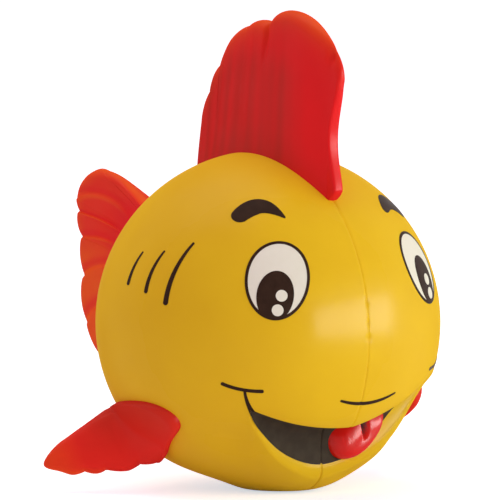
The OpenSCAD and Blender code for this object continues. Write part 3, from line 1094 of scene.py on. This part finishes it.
@dataclass
class PrintedFace:
    """The eyes and all the brush strokes on the ball."""

    nose: Stroke = Stroke(((-9.0, -21.4), (3.0, -25.2), (16.0, -20.2)), (0.45, 0.95, 0.35))
    right_brow: Stroke = Stroke(((-50.6, 41.6), (-41.0, 53.6), (-27.7, 42.9)), (3.1, 5.8, 0.3))
    left_brow: Stroke = Stroke(((53.8, 38.6), (44.2, 50.4), (30.9, 42.2)), (3.1, 5.8, 1.4))
    right_eye: Eye = Eye(Side.RIGHT)
    left_eye: Eye = Eye(
        Side.LEFT, at=(-35.0, 21.0), half=(6.2, 7.45), pupil_at=(0.0, -2.7), pupil_half=(3.4, 4.9),
        spots=((-0.5, -2.8), (-0.25, -5.5)))
    gills: tuple[Stroke, ...] = (
        Stroke(((-72.5, 10.5), (-72.5, 23.0), (-65.8, 32.6)), (1.15, 0.95, 0.45)),
        Stroke(((-82.1, 13.8), (-82.5, 22.0), (-78.2, 28.9)), (0.95, 0.8, 0.4)),
        Stroke(((-92.6, 15.7), (-92.8, 22.0), (-89.8, 27.7)), (0.9, 0.75, 0.4)))
    right_smile: tuple[Stroke, ...] = (
        Stroke(((-51.8, -14.6), (-45.5, -17.4), (-37.0, -17.3)), (0.7, 0.6, 0.7)),
        Stroke(((-43.6, -17.0), (-43.5, -21.6), (-40.0, -28.0)), (0.5, 0.6, 1.3)))
    left_smile: tuple[Stroke, ...] = (
        Stroke(((39.0, -14.2), (47.5, -14.3), (53.8, -11.6)), (0.7, 0.6, 0.7)),)

    def strokes(self, name: str, strokes: tuple[Stroke, ...], node: str, ink: Material) -> None:
        """Make one piece of some strokes.

        Args:
            name: name of the piece.
            strokes: the strokes in it.
            node: the CAD node that it stands for.
            ink: its finish.
        """
        made = joined([stroke.shell() for stroke in strokes]).piece(name, ink, crisp=True)
        dress(made, Slot.BROWN_INK, node)
        on_foam(made)

    def build(self) -> None:
        """Make the prints of the middle and of both sides."""
        brown, white = BROWN_INK.material(), WHITE_INK.material()
        self.strokes("nose_stroke", (self.nose,), "nose_mark", brown)
        left_gills = tuple(gill.mirrored() for gill in self.gills)
        for eye, brow, gills, smile in (
                (self.right_eye, self.right_brow, self.gills, self.right_smile),
                (self.left_eye, self.left_brow, left_gills, self.left_smile)):
            word = eye.side.name.lower()
            eye.build(brown, white)
            self.strokes(f"{word}_brow_stroke", (brow,), f"{word}_brow", brown)
            self.strokes(f"{word}_gill_strokes", gills, f"{word}_gill_marks", brown)
            self.strokes(f"{word}_smile_strokes", smile, f"{word}_smile_mark", brown)


@dataclass(frozen=True)
class FinEdge:
    """Free edge of a fin in its own plane, as lobes between notches.

    Each row holds a notch's place along and out, its share of the root line, and the next lobe's bulge,
    lean and fullness. A lobe is its chord plus the bulge times a sine of the way along it.
    """

    rows: tuple[tuple[float, float, float, float, float, float], ...]
    turn: float = 1.0
    steps: int = 44

    def walk(self) -> tuple[Array, Array, Array]:
        """Follow the edge from its first notch to its last.

        Returns:
            Points of the edge, their shares of the root line, and the lobe that each is on with the way
            along it.
        """
        rows = np.array(self.rows)
        q = np.linspace(0.0, 1.0, self.steps, endpoint=False)
        q = 0.5 * q + 0.5 * (0.5 - 0.5 * np.cos(np.pi * q))
        lobe = np.repeat(np.arange(len(rows) - 1), self.steps)
        lobe, q = np.append(lobe, len(rows) - 2), np.append(np.tile(q, len(rows) - 1), 1.0)
        chord = rows[lobe + 1, :2] - rows[lobe, :2]
        out = np.stack([chord[:, 1], -chord[:, 0]], axis=1) / np.linalg.norm(chord, axis=1, keepdims=True)
        arch = np.sin(np.pi * q ** rows[lobe, 4]).clip(0.0) ** rows[lobe, 5]
        edge = rows[lobe, :2] + chord * q[:, None] - out * (self.turn * rows[lobe, 3] * arch)[:, None]
        return edge, mix(rows[lobe, 2], rows[lobe + 1, 2], q), lobe + q


@dataclass(frozen=True)
class FinPlaces:
    """Where the points of a fin's sheet are.

    along and out are places in the fin's plane, and height is over the ball. lobe is a lobe's number plus
    the way along it, way goes from 0 at the root to 1 at the edge, and left is the distance left to the
    edge.
    """

    along: Array
    out: Array
    height: Array
    lobe: Array
    way: Array
    left: Array


@dataclass
class RayFin(ABC):
    """A flat fin in the fish's middle plane: rays from a root line inside the ball to its free edge."""

    name: str
    origin: Triple
    along: Triple
    out: Triple
    edge: FinEdge
    root: Pair
    bury: float
    rays: int = 56
    ray_power: float = 1.9

    @abstractmethod
    def half(self, at: FinPlaces) -> Array:
        """Half thickness of the fin away from its edge, in millimetres."""

    @abstractmethod
    def rim(self, lobe: Array) -> tuple[Array, Array]:
        """Reach of the edge's rounding in millimetres, and the power of its curve."""

    @abstractmethod
    def orange_tone_share(self, at: FinPlaces) -> Array:
        """How much the orange tone shows, from 0 to 1: thin paint, and on the tail painted highlight and
        shade.
        """

    @abstractmethod
    def worn_paint(self, at: FinPlaces) -> Array:
        """How much painted shade there is, from 0 to 1, with brush marks on the dorsal fin."""

    def ball_out(self, along: Array) -> Array:
        """How far out the plain ball's surface is, at a place along the fin."""
        base = (np.array(self.origin) - SKIN.centre) @ np.array(self.out)
        return np.sqrt(np.maximum(SKIN.radius**2 - along**2, 1.0)) - base

    def shell(self) -> Shell:
        """Sheet carried from the root up one side of each ray, over the edge and down the other side.

        Half the thickness falls to nought at the edge, as one less the distance left to a power.

        Returns:
            The closed shell, with the point values rim and worn.
        """
        edge, share, lobe = self.edge.walk()
        foot = mix(*self.root, share)
        heel = np.stack([foot, self.ball_out(foot) - self.bury], axis=1)
        way = 1.0 - (1.0 - np.linspace(0.0, 1.0, self.rays)) ** self.ray_power
        flat = mix(heel[:, None, :], edge[:, None, :], way[None, :, None])
        left = np.linalg.norm(edge - heel, axis=1)[:, None] * (1.0 - way)
        lobe, way = np.broadcast_to(lobe[:, None], left.shape), np.broadcast_to(way, left.shape)
        a, o = flat[..., 0], flat[..., 1]
        at = FinPlaces(a, o, o - self.ball_out(a), lobe, way, left)
        reach, power = self.rim(lobe)
        rounding = (1.0 - (1.0 - np.minimum(left / reach, 1.0)) ** power).clip(0.0) ** (1.0 / power)
        along, out = np.array(self.along), np.array(self.out)
        plane = np.array(self.origin) + a[..., None] * along + o[..., None] * out
        thick = (self.half(at) * rounding)[..., None] * np.cross(along, out)
        loops = np.concatenate([plane + thick, (plane - thick)[:, -2::-1]], axis=1)
        paint = {"rim": self.orange_tone_share(at), "worn": self.worn_paint(at)}
        values = {key: np.concatenate([value, value[:, -2::-1]], axis=1) for key, value in paint.items()}
        return Shell(loops.reshape(-1, 3), *self.faces(*loops.shape[:2]), values)

    def faces(self, count: int, size: int) -> tuple[Array, Array]:
        """Faces of the sheet, its closed root, and the caps on its first and last ray.

        Args:
            count: number of rays.
            size: points on each loop.

        Returns:
            Quads and triangles.
        """
        r = np.arange(count - 1) * size
        root = np.stack([r, r + size, r + 2 * size - 1, r + size - 1], axis=-1)
        c = np.arange(self.rays - 2)
        cap = np.stack([c + 1, c, size - 1 - c, size - 2 - c], axis=-1)
        tip = np.array([[self.rays - 1, self.rays - 2, self.rays]])
        last = (count - 1) * size
        quads = np.concatenate([grid_quads(count, size), root, cap, cap[:, ::-1] + last])
        return quads, np.concatenate([tip, tip[:, ::-1] + last])


@dataclass
class DorsalFin(RayFin):
    """Tall back fin: a thick front edge, a tall front lobe that overlaps the next, soft upright grooves.

    Each groove holds its place along the fin, its reach and its depth. The fields for the foot and the top
    give a last factor and its span, along the fin, or for the tip up it.
    """

    foot_half: Pair = (1.2, 3.3)
    foot_gain: Pair = (-21.0, 8.0)
    foot_back: Triple = (0.6, 10.0, 10.0)
    top_front: Triple = (2.7, -24.0, 12.0)
    top_back: Triple = (0.55, -2.0, 18.0)
    top_tip: Triple = (0.75, 4.0, 18.0)
    foot_to_top: Pair = (22.0, 0.7)
    grooves: tuple[Triple, ...] = (
        (16.6, 0.9, 0.09), (12.8, 1.0, 0.13), (9.4, 1.2, 0.1),
        (5.3, 1.4, 0.18), (1.6, 0.9, 0.1), (-8.0, 1.6, 0.08))
    groove_span: Pair = (1.0, 7.0)
    crease: Triple = (-2.2, 0.6, 1.1)
    crease_span: Pair = (11.0, 10.0)
    dimple_deep: float = 1.0
    dimple_along: Pair = (-21.9, 0.8)
    dimple_out: Pair = (15.8, 1.2)
    edge_reach: Pair = (2.2, 1.2)
    edge_power: Pair = (2.0, 3.6)
    square_span: Pair = (1.4, 0.5)
    thin_most: float = 0.75
    thin_reach: float = 1.6
    thin_way_span: Pair = (0.45, 0.4)
    thin_lobe_span: Pair = (1.9, 0.6)
    # Painted shade on the fin: its levels plain, in the grooves and by brush waves, which are paint marks.
    shade_amount: Triple = (0.56, 0.2, 0.07)
    groove_shade_share: float = 0.8
    brush_waves: tuple[Triple, Triple] = ((1.25, 0.05, 0.0), (2.05, -0.07, 1.0))
    unshaded_top: Triple = (0.3, 15.0, 7.0)
    shade_along_span: Pair = (-17.0, 10.0)
    foot_shade: Pair = (0.3, 4.0)

    def half(self, at: FinPlaces) -> Array:
        """Wedge, thick at the ball and less so to the front and back, cut by shallow upright grooves.

        A short crease runs down from the notch behind the front lobe, and a small dimple is near the front
        edge.

        Args:
            at: places on the fin.

        Returns:
            Half thickness in millimetres.
        """
        least, more = self.foot_half
        start, reach = self.foot_gain
        foot = least + more * (1.0 - np.exp(-np.maximum(at.along - start, 0.0) / reach))
        foot = foot * fade(at.along, *self.foot_back)
        top = fade(at.along, *self.top_front) * fade(at.along, *self.top_back) * fade(at.out, *self.top_tip)
        tall, power = self.foot_to_top
        body = mix(foot, top, np.clip(at.height / tall, 0.0, 1.0) ** power)
        flutes = sum(deep * bell(at.along, place, reach) for place, reach, deep in self.grooves)
        place, reach, deep = self.crease
        crease = deep * bell(at.along, place, reach) * ease(at.out, *self.crease_span)
        dimple = self.dimple_deep * bell(at.along, *self.dimple_along) * bell(at.out, *self.dimple_out)
        return body - flutes * ease(at.height, *self.groove_span) - crease - dimple

    def rim(self, lobe: Array) -> tuple[Array, Array]:
        """The front edge is nearly square low down, the rest is round."""
        square = 1.0 - ease(lobe, *self.square_span)
        return mix(*self.edge_reach, square), mix(*self.edge_power, square)

    def orange_tone_share(self, at: FinPlaces) -> Array:
        """Thin near the free edge, falling off with the distance to it, but not on the front edge."""
        kept = ease(at.way, *self.thin_way_span) * ease(at.lobe, *self.thin_lobe_span)
        return self.thin_most * np.exp(-at.left / self.thin_reach) * kept

    def worn_paint(self, at: FinPlaces) -> Array:
        """Painted shade over the middle and back of the fin, most in its grooves and at its foot, and less
        at the top.

        Two sine waves along the fin stand for brush marks.

        Args:
            at: places on the fin.

        Returns:
            How much painted shade there is, from 0 to 1, brush marks included.
        """
        # Painted shade, most in the grooves and at the foot; the sine waves are brush marks in the paint.
        groove_shade = sum(bell(at.along, place, self.groove_shade_share * reach) for place, reach, _ in self.grooves)
        brush = sum(np.sin(a * at.along + h * at.height + start) for a, h, start in self.brush_waves)
        plain, in_grooves, in_brush = self.shade_amount
        shade_amount = (plain + in_grooves * groove_shade + in_brush * brush) * fade(at.height, *self.unshaded_top)
        most, reach = self.foot_shade
        foot = most * bell(at.height, 0.0, reach)
        return np.clip(ease(at.along, *self.shade_along_span) * shade_amount + foot, 0.0, 1.0)

    def build(self) -> None:
        """Make the fin."""
        made = self.shell().piece(self.name, RED_FOAM.material())
        dress(made, Slot.RED_SKIN, "dorsal_fin_root", "dorsal_fin_blade")
        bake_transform(made)


@dataclass
class TailFin(RayFin):
    """Fan tail of puffy lobes: each lobe's upper edge is a low ridge that arches in from its notch."""

    arch: float = 0.55
    arch_in: Triple = (0.55, 1.6, 0.8)
    thickness: Pair = (2.9, 1.5)
    thickness_span: Pair = (-1.0, 26.0)
    step: float = 0.5
    step_power: float = 1.4
    step_span: Pair = (0.0, 0.12)
    step_level: float = 0.45
    lobe_span: Pair = (1.7, 0.3)
    way_span: Pair = (0.4, 0.3)
    edge_reach: Pair = (7.0, 1.6)
    edge_span: Pair = (0.7, 0.8)
    edge_power: float = 2.0
    # Painted highlight with thin paint on each lobe's ridge, and painted shade in the crease before it.
    ridge_highlight_paint: Triple = (0.6, 0.12, 0.1)
    pale_paint: Pair = (0.2, 0.65)
    pale_span: Pair = (3.4, 1.5)
    rim_paint: Pair = (0.85, 2.8)
    crease_shade: Triple = (0.35, 0.88, 0.14)
    paint_span: Pair = (0.5, 0.3)

    def lobe_way(self, at: FinPlaces) -> tuple[Array, Array]:
        """Lobe number and way along it, moved so that lobes arch upwards inside the edge.

        Args:
            at: places on the fin.

        Returns:
            The number with the way, and the way alone.
        """
        depth, most, wave = self.arch_in
        inside = np.clip((1.0 - at.way) / depth, 0.0, most)
        number = at.lobe + self.arch * np.sin(np.pi * inside * wave) * ease(at.lobe)
        return number, number - np.floor(number)

    def half(self, at: FinPlaces) -> Array:
        """Thick at the ball and thin at the edge, with a step up at each lobe's start that sinks along it.

        Args:
            at: places on the fin.

        Returns:
            Half thickness in millimetres.
        """
        body = mix(*self.thickness, ease(at.height, *self.thickness_span))
        number, q = self.lobe_way(at)
        puff = (1.0 - q) ** self.step_power * ease(q, *self.step_span) - self.step_level
        return body + self.step * puff * ease(number, *self.lobe_span) * ease(at.way, *self.way_span)

    def rim(self, lobe: Array) -> tuple[Array, Array]:
        """The upper edge is rounded far into the fin, the rest less so."""
        return mix(*self.edge_reach, ease(lobe, *self.edge_span)), np.full_like(lobe, self.edge_power)

    def orange_tone_share(self, at: FinPlaces) -> Array:
        """Thin paint at the edge; along each lobe's ridge painted highlight with thin paint, and painted
        shade in the crease before it.

        Args:
            at: places on the fin.

        Returns:
            How much the orange tone shows, from 0 to 1.
        """
        number, q = self.lobe_way(at)
        ridged, outer = ease(number, *self.lobe_span), ease(at.way, *self.paint_span)
        # Painted highlight, with thin paint, along each lobe's ridge.
        most, place, reach = self.ridge_highlight_paint
        ridge = most * bell(q, place, reach) * ridged
        plain, low_down = self.pale_paint
        at_rim, rim_reach = self.rim_paint
        pale = np.maximum(
            plain + low_down * ease(at.lobe, *self.pale_span), at_rim * np.exp(-at.left / rim_reach))
        # Painted shade in the crease before the next ridge.
        least, place, reach = self.crease_shade
        return outer * np.maximum(ridge, pale * mix(1.0, least, bell(q, place, reach) * ridged))

    def worn_paint(self, at: FinPlaces) -> Array:
        """No painted shade on the tail."""
        return np.zeros_like(at.along)

    def build(self) -> None:
        """Make the fin."""
        made = self.shell().piece(self.name, RED_FOAM.material())
        dress(made, Slot.RED_SKIN, "tail_fin_root", "tail_fin_blade")
        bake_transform(made)


@dataclass
class PectoralFin:
    """Soft side fin: loops carried from a rounded patch on the ball out to a tip, drawn for the right side.

    The upper and lower edges give a height at the flex line and a slope. Spans run outwards from that line.
    """

    side: Side
    origin: Triple = (-28.5, 9.9, 10.0)
    up: Triple = (-0.036, 0.568, 0.822)
    out: Triple = (-0.767, 0.511, -0.387)
    patch_places: tuple[Pair, ...] = (
        (-71.4, -31.0), (-80.5, -24.0), (-105.0, -25.2), (-126.0, -30.0),
        (-133.0, -38.0), (-125.0, -45.0), (-100.0, -47.6), (-80.5, -38.8))
    left_shift: Pair = (2.7, 3.0)
    patch_sink: float = 0.9
    pad_lift: float = 2.2
    least_lift: float = 1.5
    lift_by: float = 0.22
    lift_soft: float = 0.2
    root_rows: int = 33
    run_in: Pair = (4.0, 0.7)
    slope_step: float = 0.4
    around: int = 120
    blade_rows: int = 55
    length: float = 14.7
    upper_edge: Pair = (6.4, -0.25)
    lower_edge: Pair = (-6.0, 0.34)
    tip_start: float = 9.5
    tip_middle: float = 0.9
    tip_span: Pair = (8.0, 7.0)
    half: float = 2.2
    tip_thin: float = 0.62
    section_powers: Pair = (0.7, 0.85)
    ridge: float = 0.55
    ridge_span: Pair = (4.7, 0.5)
    ridge_end_span: Pair = (7.0, -2.0)
    notches: tuple[float, ...] = (-9.5, -2.4, 4.0, 7.9, 14.0)
    scallop: Triple = (0.75, 0.8, 6.0)
    scallop_span: Pair = (13.0, -3.0)
    inner_share: float = 0.9
    tip_paint: float = 0.42
    tip_paint_span: Pair = (3.0, 12.0)
    edge_paint: Pair = (0.35, 14.0)
    edge_paint_span: Pair = (0.0, 6.0)
    least_paint: float = 0.1
    tip_end_paint: float = 0.5
    # Painted shade on the upper side of the fin near the ball.
    worn: float = 0.75
    worn_span: Pair = (10.0, -11.0)
    worn_up: Pair = (0.5, 0.7)
    bend_ends: Pair = (-2.0, 4.0)

    def patch(self, turn: Array, lift: float) -> Array:
        """Smooth loop through the places on the ball: the sum of waves that passes through them all.

        Args:
            turn: angles round the loop, from its front over its top.
            lift: height over the plain ball.

        Returns:
            Points in millimetres.
        """
        count = len(self.patch_places)
        waves = np.fft.rfft(np.array(self.patch_places), axis=0) / count
        order = np.arange(len(waves))
        weight = np.where((order == 0) | (order == count // 2), 1.0, 2.0)
        loop = np.real(np.exp(1j * order * turn[..., None]) @ (weight[:, None] * waves))
        if self.side is Side.LEFT:
            loop = loop + np.array(self.left_shift)
        return SKIN.centre + (SKIN.radius + lift) * SKIN.aim(loop[..., 0], loop[..., 1])

    def section(self, x: Array, c: Array, s: Array) -> Array:
        """Points of the blade x millimetres out: a flat loop between the upper and the lower edge.

        The loop closes to the tip as a quarter circle, and a low ridge steps its front face near the top.

        Args:
            x: distance out from the flex line.
            c: cosine round the loop, + towards the front face.
            s: sine round the loop, + towards the upper edge.

        Returns:
            Points in millimetres.
        """
        up, out = np.array(self.up), np.array(self.out)
        face = np.cross(out, up)
        high = self.upper_edge[0] + self.upper_edge[1] * x
        low = self.lower_edge[0] + self.lower_edge[1] * x
        past = np.clip((x - self.tip_start) / (self.length - self.tip_start), 0.0, 1.0)
        end = np.sqrt(np.maximum(0.0, 1.0 - past**2))
        middle = mix(0.5 * (high + low), self.tip_middle, ease(x, *self.tip_span))
        a = middle + 0.5 * (high - low) * end * signed_power(s, self.section_powers[1])
        thick = self.half * fade(x, self.tip_thin, 0.0, self.length) * end
        thick = thick * signed_power(c, self.section_powers[0])
        step = self.ridge * ease(a, *self.ridge_span) * ease(x, *self.ridge_end_span) * np.maximum(c, 0.0)
        flat = np.array(self.origin) + x[..., None] * out + a[..., None] * up
        return flat - (thick - step)[..., None] * face

    def root_loops(self, turn: Array) -> Array:
        """Loops that leave the ball steeply and run by a cubic curve into the blade's own slope.

        Away from the patch they are kept clear of the ball by a soft greater-of.

        Args:
            turn: angles round the loops.

        Returns:
            (rows, around, 3) points in millimetres.
        """
        c, s = np.cos(turn), np.sin(turn)
        flex = self.section(np.zeros_like(c), c, s)
        slope = (self.section(np.full_like(c, self.slope_step), c, s) - flex) / self.slope_step
        back, straight = self.run_in
        inward = flex - back * mix(slope, np.array(self.out), straight)
        patch, pad = self.patch(turn, -self.patch_sink), self.patch(turn, self.pad_lift)
        w = np.linspace(0.0, 1.0, self.root_rows + 1)[:-1, None, None]
        spoke = mix(bend(patch, pad, inward, w), bend(pad, inward, flex, w), w) - SKIN.centre
        reach = np.linalg.norm(spoke, axis=-1, keepdims=True)
        least = mix(-self.patch_sink, self.least_lift, np.sqrt(ease(w, 0.0, self.lift_by)))
        short = SKIN.radius + least - reach
        return SKIN.centre + spoke * (1.0 + 0.5 * (short + np.sqrt(short**2 + self.lift_soft * w)) / reach)

    def scalloped(self, loops: Array, at: Array, s: Array) -> Array:
        """The loops with scallops along the lower edge: a sine of the way between notches, to a power.

        Args:
            loops: points in millimetres.
            at: their distance out from the flex line.
            s: sine round the loops.

        Returns:
            The moved points.
        """
        lobe = np.interp(at, self.notches, np.arange(len(self.notches)))
        deep, power, narrow = self.scallop
        drop = deep * np.abs(np.sin(np.pi * lobe)) ** power * np.clip(-s, 0.0, 1.0) ** narrow
        return loops - (drop * ease(at, *self.scallop_span))[..., None] * np.array(self.up)

    def paint(self, at: Array, s: Array) -> dict[str, Array]:
        """Thin paint towards the tip and on both edges, and painted shade on the upper side near the ball.

        Args:
            at: distance of the points out from the flex line.
            s: sine round the loops.

        Returns:
            The point values rim and worn, for the loops, the tip and the inner end.
        """
        most, power = self.edge_paint
        edge = most * np.abs(s) ** power * ease(at, *self.edge_paint_span)
        thin = np.maximum(self.tip_paint * ease(at, *self.tip_paint_span) + edge, self.least_paint)
        # Painted shade on the upper side near the ball.
        level, slant = self.worn_up
        worn = self.worn * ease(at, *self.worn_span) * np.clip(level + slant * s, 0.0, 1.0)
        return {
            "rim": np.append(thin.ravel(), [self.tip_end_paint, self.least_paint]),
            "worn": np.append(worn.ravel(), [0.0, 0.0])}

    def shell(self) -> Shell:
        """Root loops and blade loops, closed by a point at the tip and one inside the ball.

        Returns:
            The closed shell, with the point values rim and worn.
        """
        turn = np.linspace(0.0, 2.0 * np.pi, self.around, endpoint=False)[None, :]
        c, s = np.cos(turn), np.sin(turn)
        way = np.linspace(0.0, 1.0, self.blade_rows + 1)[:-1, None]
        x = self.length * np.sin(0.5 * np.pi * way) * np.ones_like(c)
        root = self.root_loops(turn)
        nought = np.zeros((1, 1))
        tip = self.section(np.array([[self.length]]), nought, nought).reshape(1, 3)
        inner = mix(SKIN.centre, root[0].mean(axis=0), self.inner_share)[None, :]
        loops = np.concatenate([root, self.section(x, c, s)])
        at = (loops - np.array(self.origin)) @ np.array(self.out)
        loops = self.scalloped(loops, at, s)
        rows, cols, _ = loops.shape
        points = np.concatenate([loops.reshape(-1, 3), tip, inner])
        ring = np.arange(cols)
        ends = np.concatenate([
            fan((rows - 1) * cols + ring, rows * cols), fan(ring[::-1], rows * cols + 1)])
        if self.side is Side.LEFT:
            points = points * np.array([-1.0, 1.0, 1.0])
        return Shell(points, grid_quads(rows, cols, wrap_cols=True), ends, self.paint(at, s))

    def build(self) -> None:
        """Make the fin."""
        word = self.side.name.lower()
        made = self.shell().piece(f"{word}_side_fin", RED_FOAM.material())
        dress(made, Slot.RED_SKIN, f"{word}_pectoral_root", f"{word}_pectoral_blade")
        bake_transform(made)


@dataclass(frozen=True)
class Lamp:
    """Wide soft lamp, turned to the object.

    Its way is given in the camera's right, up and back, its distance and size in metres, and its power in
    watts. A lamp for shine only shows in reflections and adds no other light.
    """

    name: str
    way: Triple
    distance: float
    size: Pair
    power: float
    tone: Colour
    shine_only: bool = False

    def build(self, axes: Array) -> None:
        """Make the lamp.

        Args:
            axes: the camera's right, up and back directions, one in a row.
        """
        toward = np.array(self.way) @ axes
        toward = toward / np.linalg.norm(toward)
        light = bpy.data.lights.new(self.name, "AREA")
        light.shape = "RECTANGLE"
        light.size, light.size_y = self.size
        light.energy = self.power
        light.color = self.tone
        made = bpy.data.objects.new(self.name, light)
        made.location = Vector(SKIN.centre * MM + self.distance * toward)
        made.rotation_euler = Vector(toward).to_track_quat("Z", "Y").to_euler()
        made.visible_diffuse = not self.shine_only
        bpy.context.collection.objects.link(made)


@dataclass
class Studio:
    """Pale floor, a soft lamp to the right, one that only shines, one above, even light and the camera."""

    azimuth: float = -35.5
    elevation: float = 6.0
    distance: float = 3.5
    pixels_per_mm: float = 5.227
    frame_pixels: float = 500.0
    sensor_mm: float = 36.0
    aim_right: float = -3.44
    aim_up: float = 13.77
    lamps: tuple[Lamp, ...] = (
        Lamp("side_lamp", (0.87, 0.12, 0.49), 0.45, (0.5, 0.26), 0.89, (0.86, 1.0, 0.7)),
        Lamp("shine_lamp", (0.87, 0.02, 0.49), 0.44, (0.5, 0.16), 4.3, WHITE, shine_only=True),
        Lamp("top_lamp", (-0.25, 0.93, -0.1), 0.7, (0.6, 0.6), 1.9, (1.0, 0.95, 0.82)))
    air: Colour = (0.515, 0.384, 0.43)
    floor_half: float = 6.0
    floor_points: int = 25
    floor_tone: Colour = (0.92, 0.92, 0.92)
    floor_glow: Colour = (0.54, 0.6, 0.66)
    floor_rough: Pair = (0.7, 0.85)
    floor_scale: float = 40.0

    def axes(self) -> Array:
        """The camera's right, up and back directions, one in a row.

        Returns:
            A (3, 3) array.
        """
        a, e = np.radians(self.azimuth), np.radians(self.elevation)
        back = np.array([np.cos(e) * np.sin(a), -np.cos(e) * np.cos(a), np.sin(e)])
        right = np.array([np.cos(a), np.sin(a), 0.0])
        return np.stack([right, np.cross(back, right), back])

    def camera(self) -> None:
        """Long lens at the photograph's viewing angle, turned to a point over the ball's middle."""
        lens = bpy.data.cameras.new("studio_camera")
        lens.sensor_width = self.sensor_mm
        lens.lens = self.sensor_mm * self.pixels_per_mm * self.distance / MM / self.frame_pixels
        made = bpy.data.objects.new("studio_camera", lens)
        right, up, back = self.axes()
        aim = (SKIN.centre + self.aim_right * right + self.aim_up * up) * MM
        turn = Matrix((right, up, back)).transposed().to_4x4()
        made.matrix_world = Matrix.Translation(Vector(aim + self.distance * back)) @ turn
        bpy.context.collection.objects.link(made)
        bpy.context.scene.camera = made

    def world(self) -> None:
        """Warm even light from all round, which is white where the eye sees it."""
        world = bpy.data.worlds.new("warm_studio")
        sheet = NodeSheet(world)
        light = sheet.tree.nodes["Background"]
        light.inputs["Color"].default_value = (*self.air, 1.0)
        white = sheet.add("ShaderNodeBackground", {"Color": (*WHITE, 1.0)})
        sheet.show("World Output", light.outputs[0], white.outputs[0])
        bpy.context.scene.world = world

    def floor(self) -> None:
        """Pale floor that keeps the object's shadow; what the eye sees of it is raised towards white."""
        side = np.linspace(-self.floor_half, self.floor_half, self.floor_points)
        x, y = np.meshgrid(side, side, indexing="ij")
        points = np.stack([x, y, np.zeros_like(x)], axis=-1).reshape(-1, 3)
        quads = grid_quads(self.floor_points, self.floor_points)[:, ::-1]
        mesh = bpy.data.meshes.new("studio_floor")
        mesh.from_pydata(points.tolist(), [], quads.tolist())
        pale = bpy.data.materials.new("pale_floor")
        sheet = NodeSheet(pale)
        sheet.shade("Base Color", (*self.floor_tone, 1.0))
        sheet.shade("Roughness", sheet.spread(sheet.noise(self.floor_scale), (0.3, 0.7), self.floor_rough))
        plain = sheet.shader.outputs[0]
        glow = sheet.add("ShaderNodeEmission", {"Color": (*self.floor_glow, 1.0)})
        both = sheet.add("ShaderNodeAddShader", {0: plain, 1: glow.outputs[0]})
        sheet.show("Material Output", plain, both.outputs[0])
        mesh.materials.append(pale)
        made = bpy.data.objects.new("studio_floor", mesh)
        bpy.context.collection.objects.link(made)

    def build(self) -> None:
        """Set up the whole studio."""
        self.camera()
        for lamp in self.lamps:
            lamp.build(self.axes())
        self.world()
        self.floor()
        bpy.context.scene.view_settings.view_transform = "Standard"


DORSAL = DorsalFin(
    "dorsal_fin", (0.0, 0.0, 68.6), (0.0, 1.0, 0.0), (0.0, 0.0, 1.0),
    FinEdge((
        (-17.0, -13.2, 0.0, 0.9, 1.3, 0.6),
        (-23.3, -9.6, 0.03, -2.1, 0.95, 1.5),
        (-24.1, 10.7, 0.1, 6.9, 1.06, 0.4),
        (-2.3, 20.3, 0.46, 1.1, 0.9, 0.6),
        (5.3, 19.6, 0.62, 2.0, 1.2, 0.6),
        (13.7, 11.9, 0.8, 1.1, 1.0, 0.6),
        (16.8, 7.3, 0.88, 0.6, 1.0, 0.7),
        (19.4, 2.3, 0.94, 0.5, 1.0, 1.0),
        (20.6, -15.0, 1.0, 0.0, 1.0, 1.0))),
    root=(-17.0, 20.0), bury=2.5)
TAIL = TailFin(
    "tail_fin", (0.0, 41.0, 31.7), (0.0, 0.0, 1.0), (0.0, 1.0, 0.0),
    FinEdge((
        (12.2, -17.0, 0.0, 1.1, 3.5, 1.0),
        (24.8, 13.3, 0.1, 1.8, 1.1, 0.5),
        (18.9, 21.6, 0.2, 0.4, 1.0, 0.8),
        (16.4, 20.9, 0.27, 1.2, 1.0, 0.6),
        (11.5, 19.7, 0.39, 1.3, 1.0, 0.6),
        (3.9, 19.1, 0.55, 1.7, 1.0, 0.6),
        (-5.2, 18.2, 0.73, 0.9, 1.0, 0.6),
        (-11.2, 14.0, 0.86, 0.8, 1.0, 0.7),
        (-14.0, 9.4, 0.92, 0.6, 1.0, 0.8),
        (-7.0, -17.0, 1.0, 0.0, 1.0, 1.0)), turn=-1.0),
    root=(13.0, -6.5), bury=7.5)


def main() -> None:
    """Build the studio and every piece."""
    logging.basicConfig(level=logging.INFO, format="%(name)s %(message)s")
    Studio().build()
    FoamBody().build()
    Mouth().build()
    PrintedFace().build()
    DORSAL.build()
    TAIL.build()
    for side in Side:
        PectoralFin(side).build()


if __name__ == "__main__":
    main()
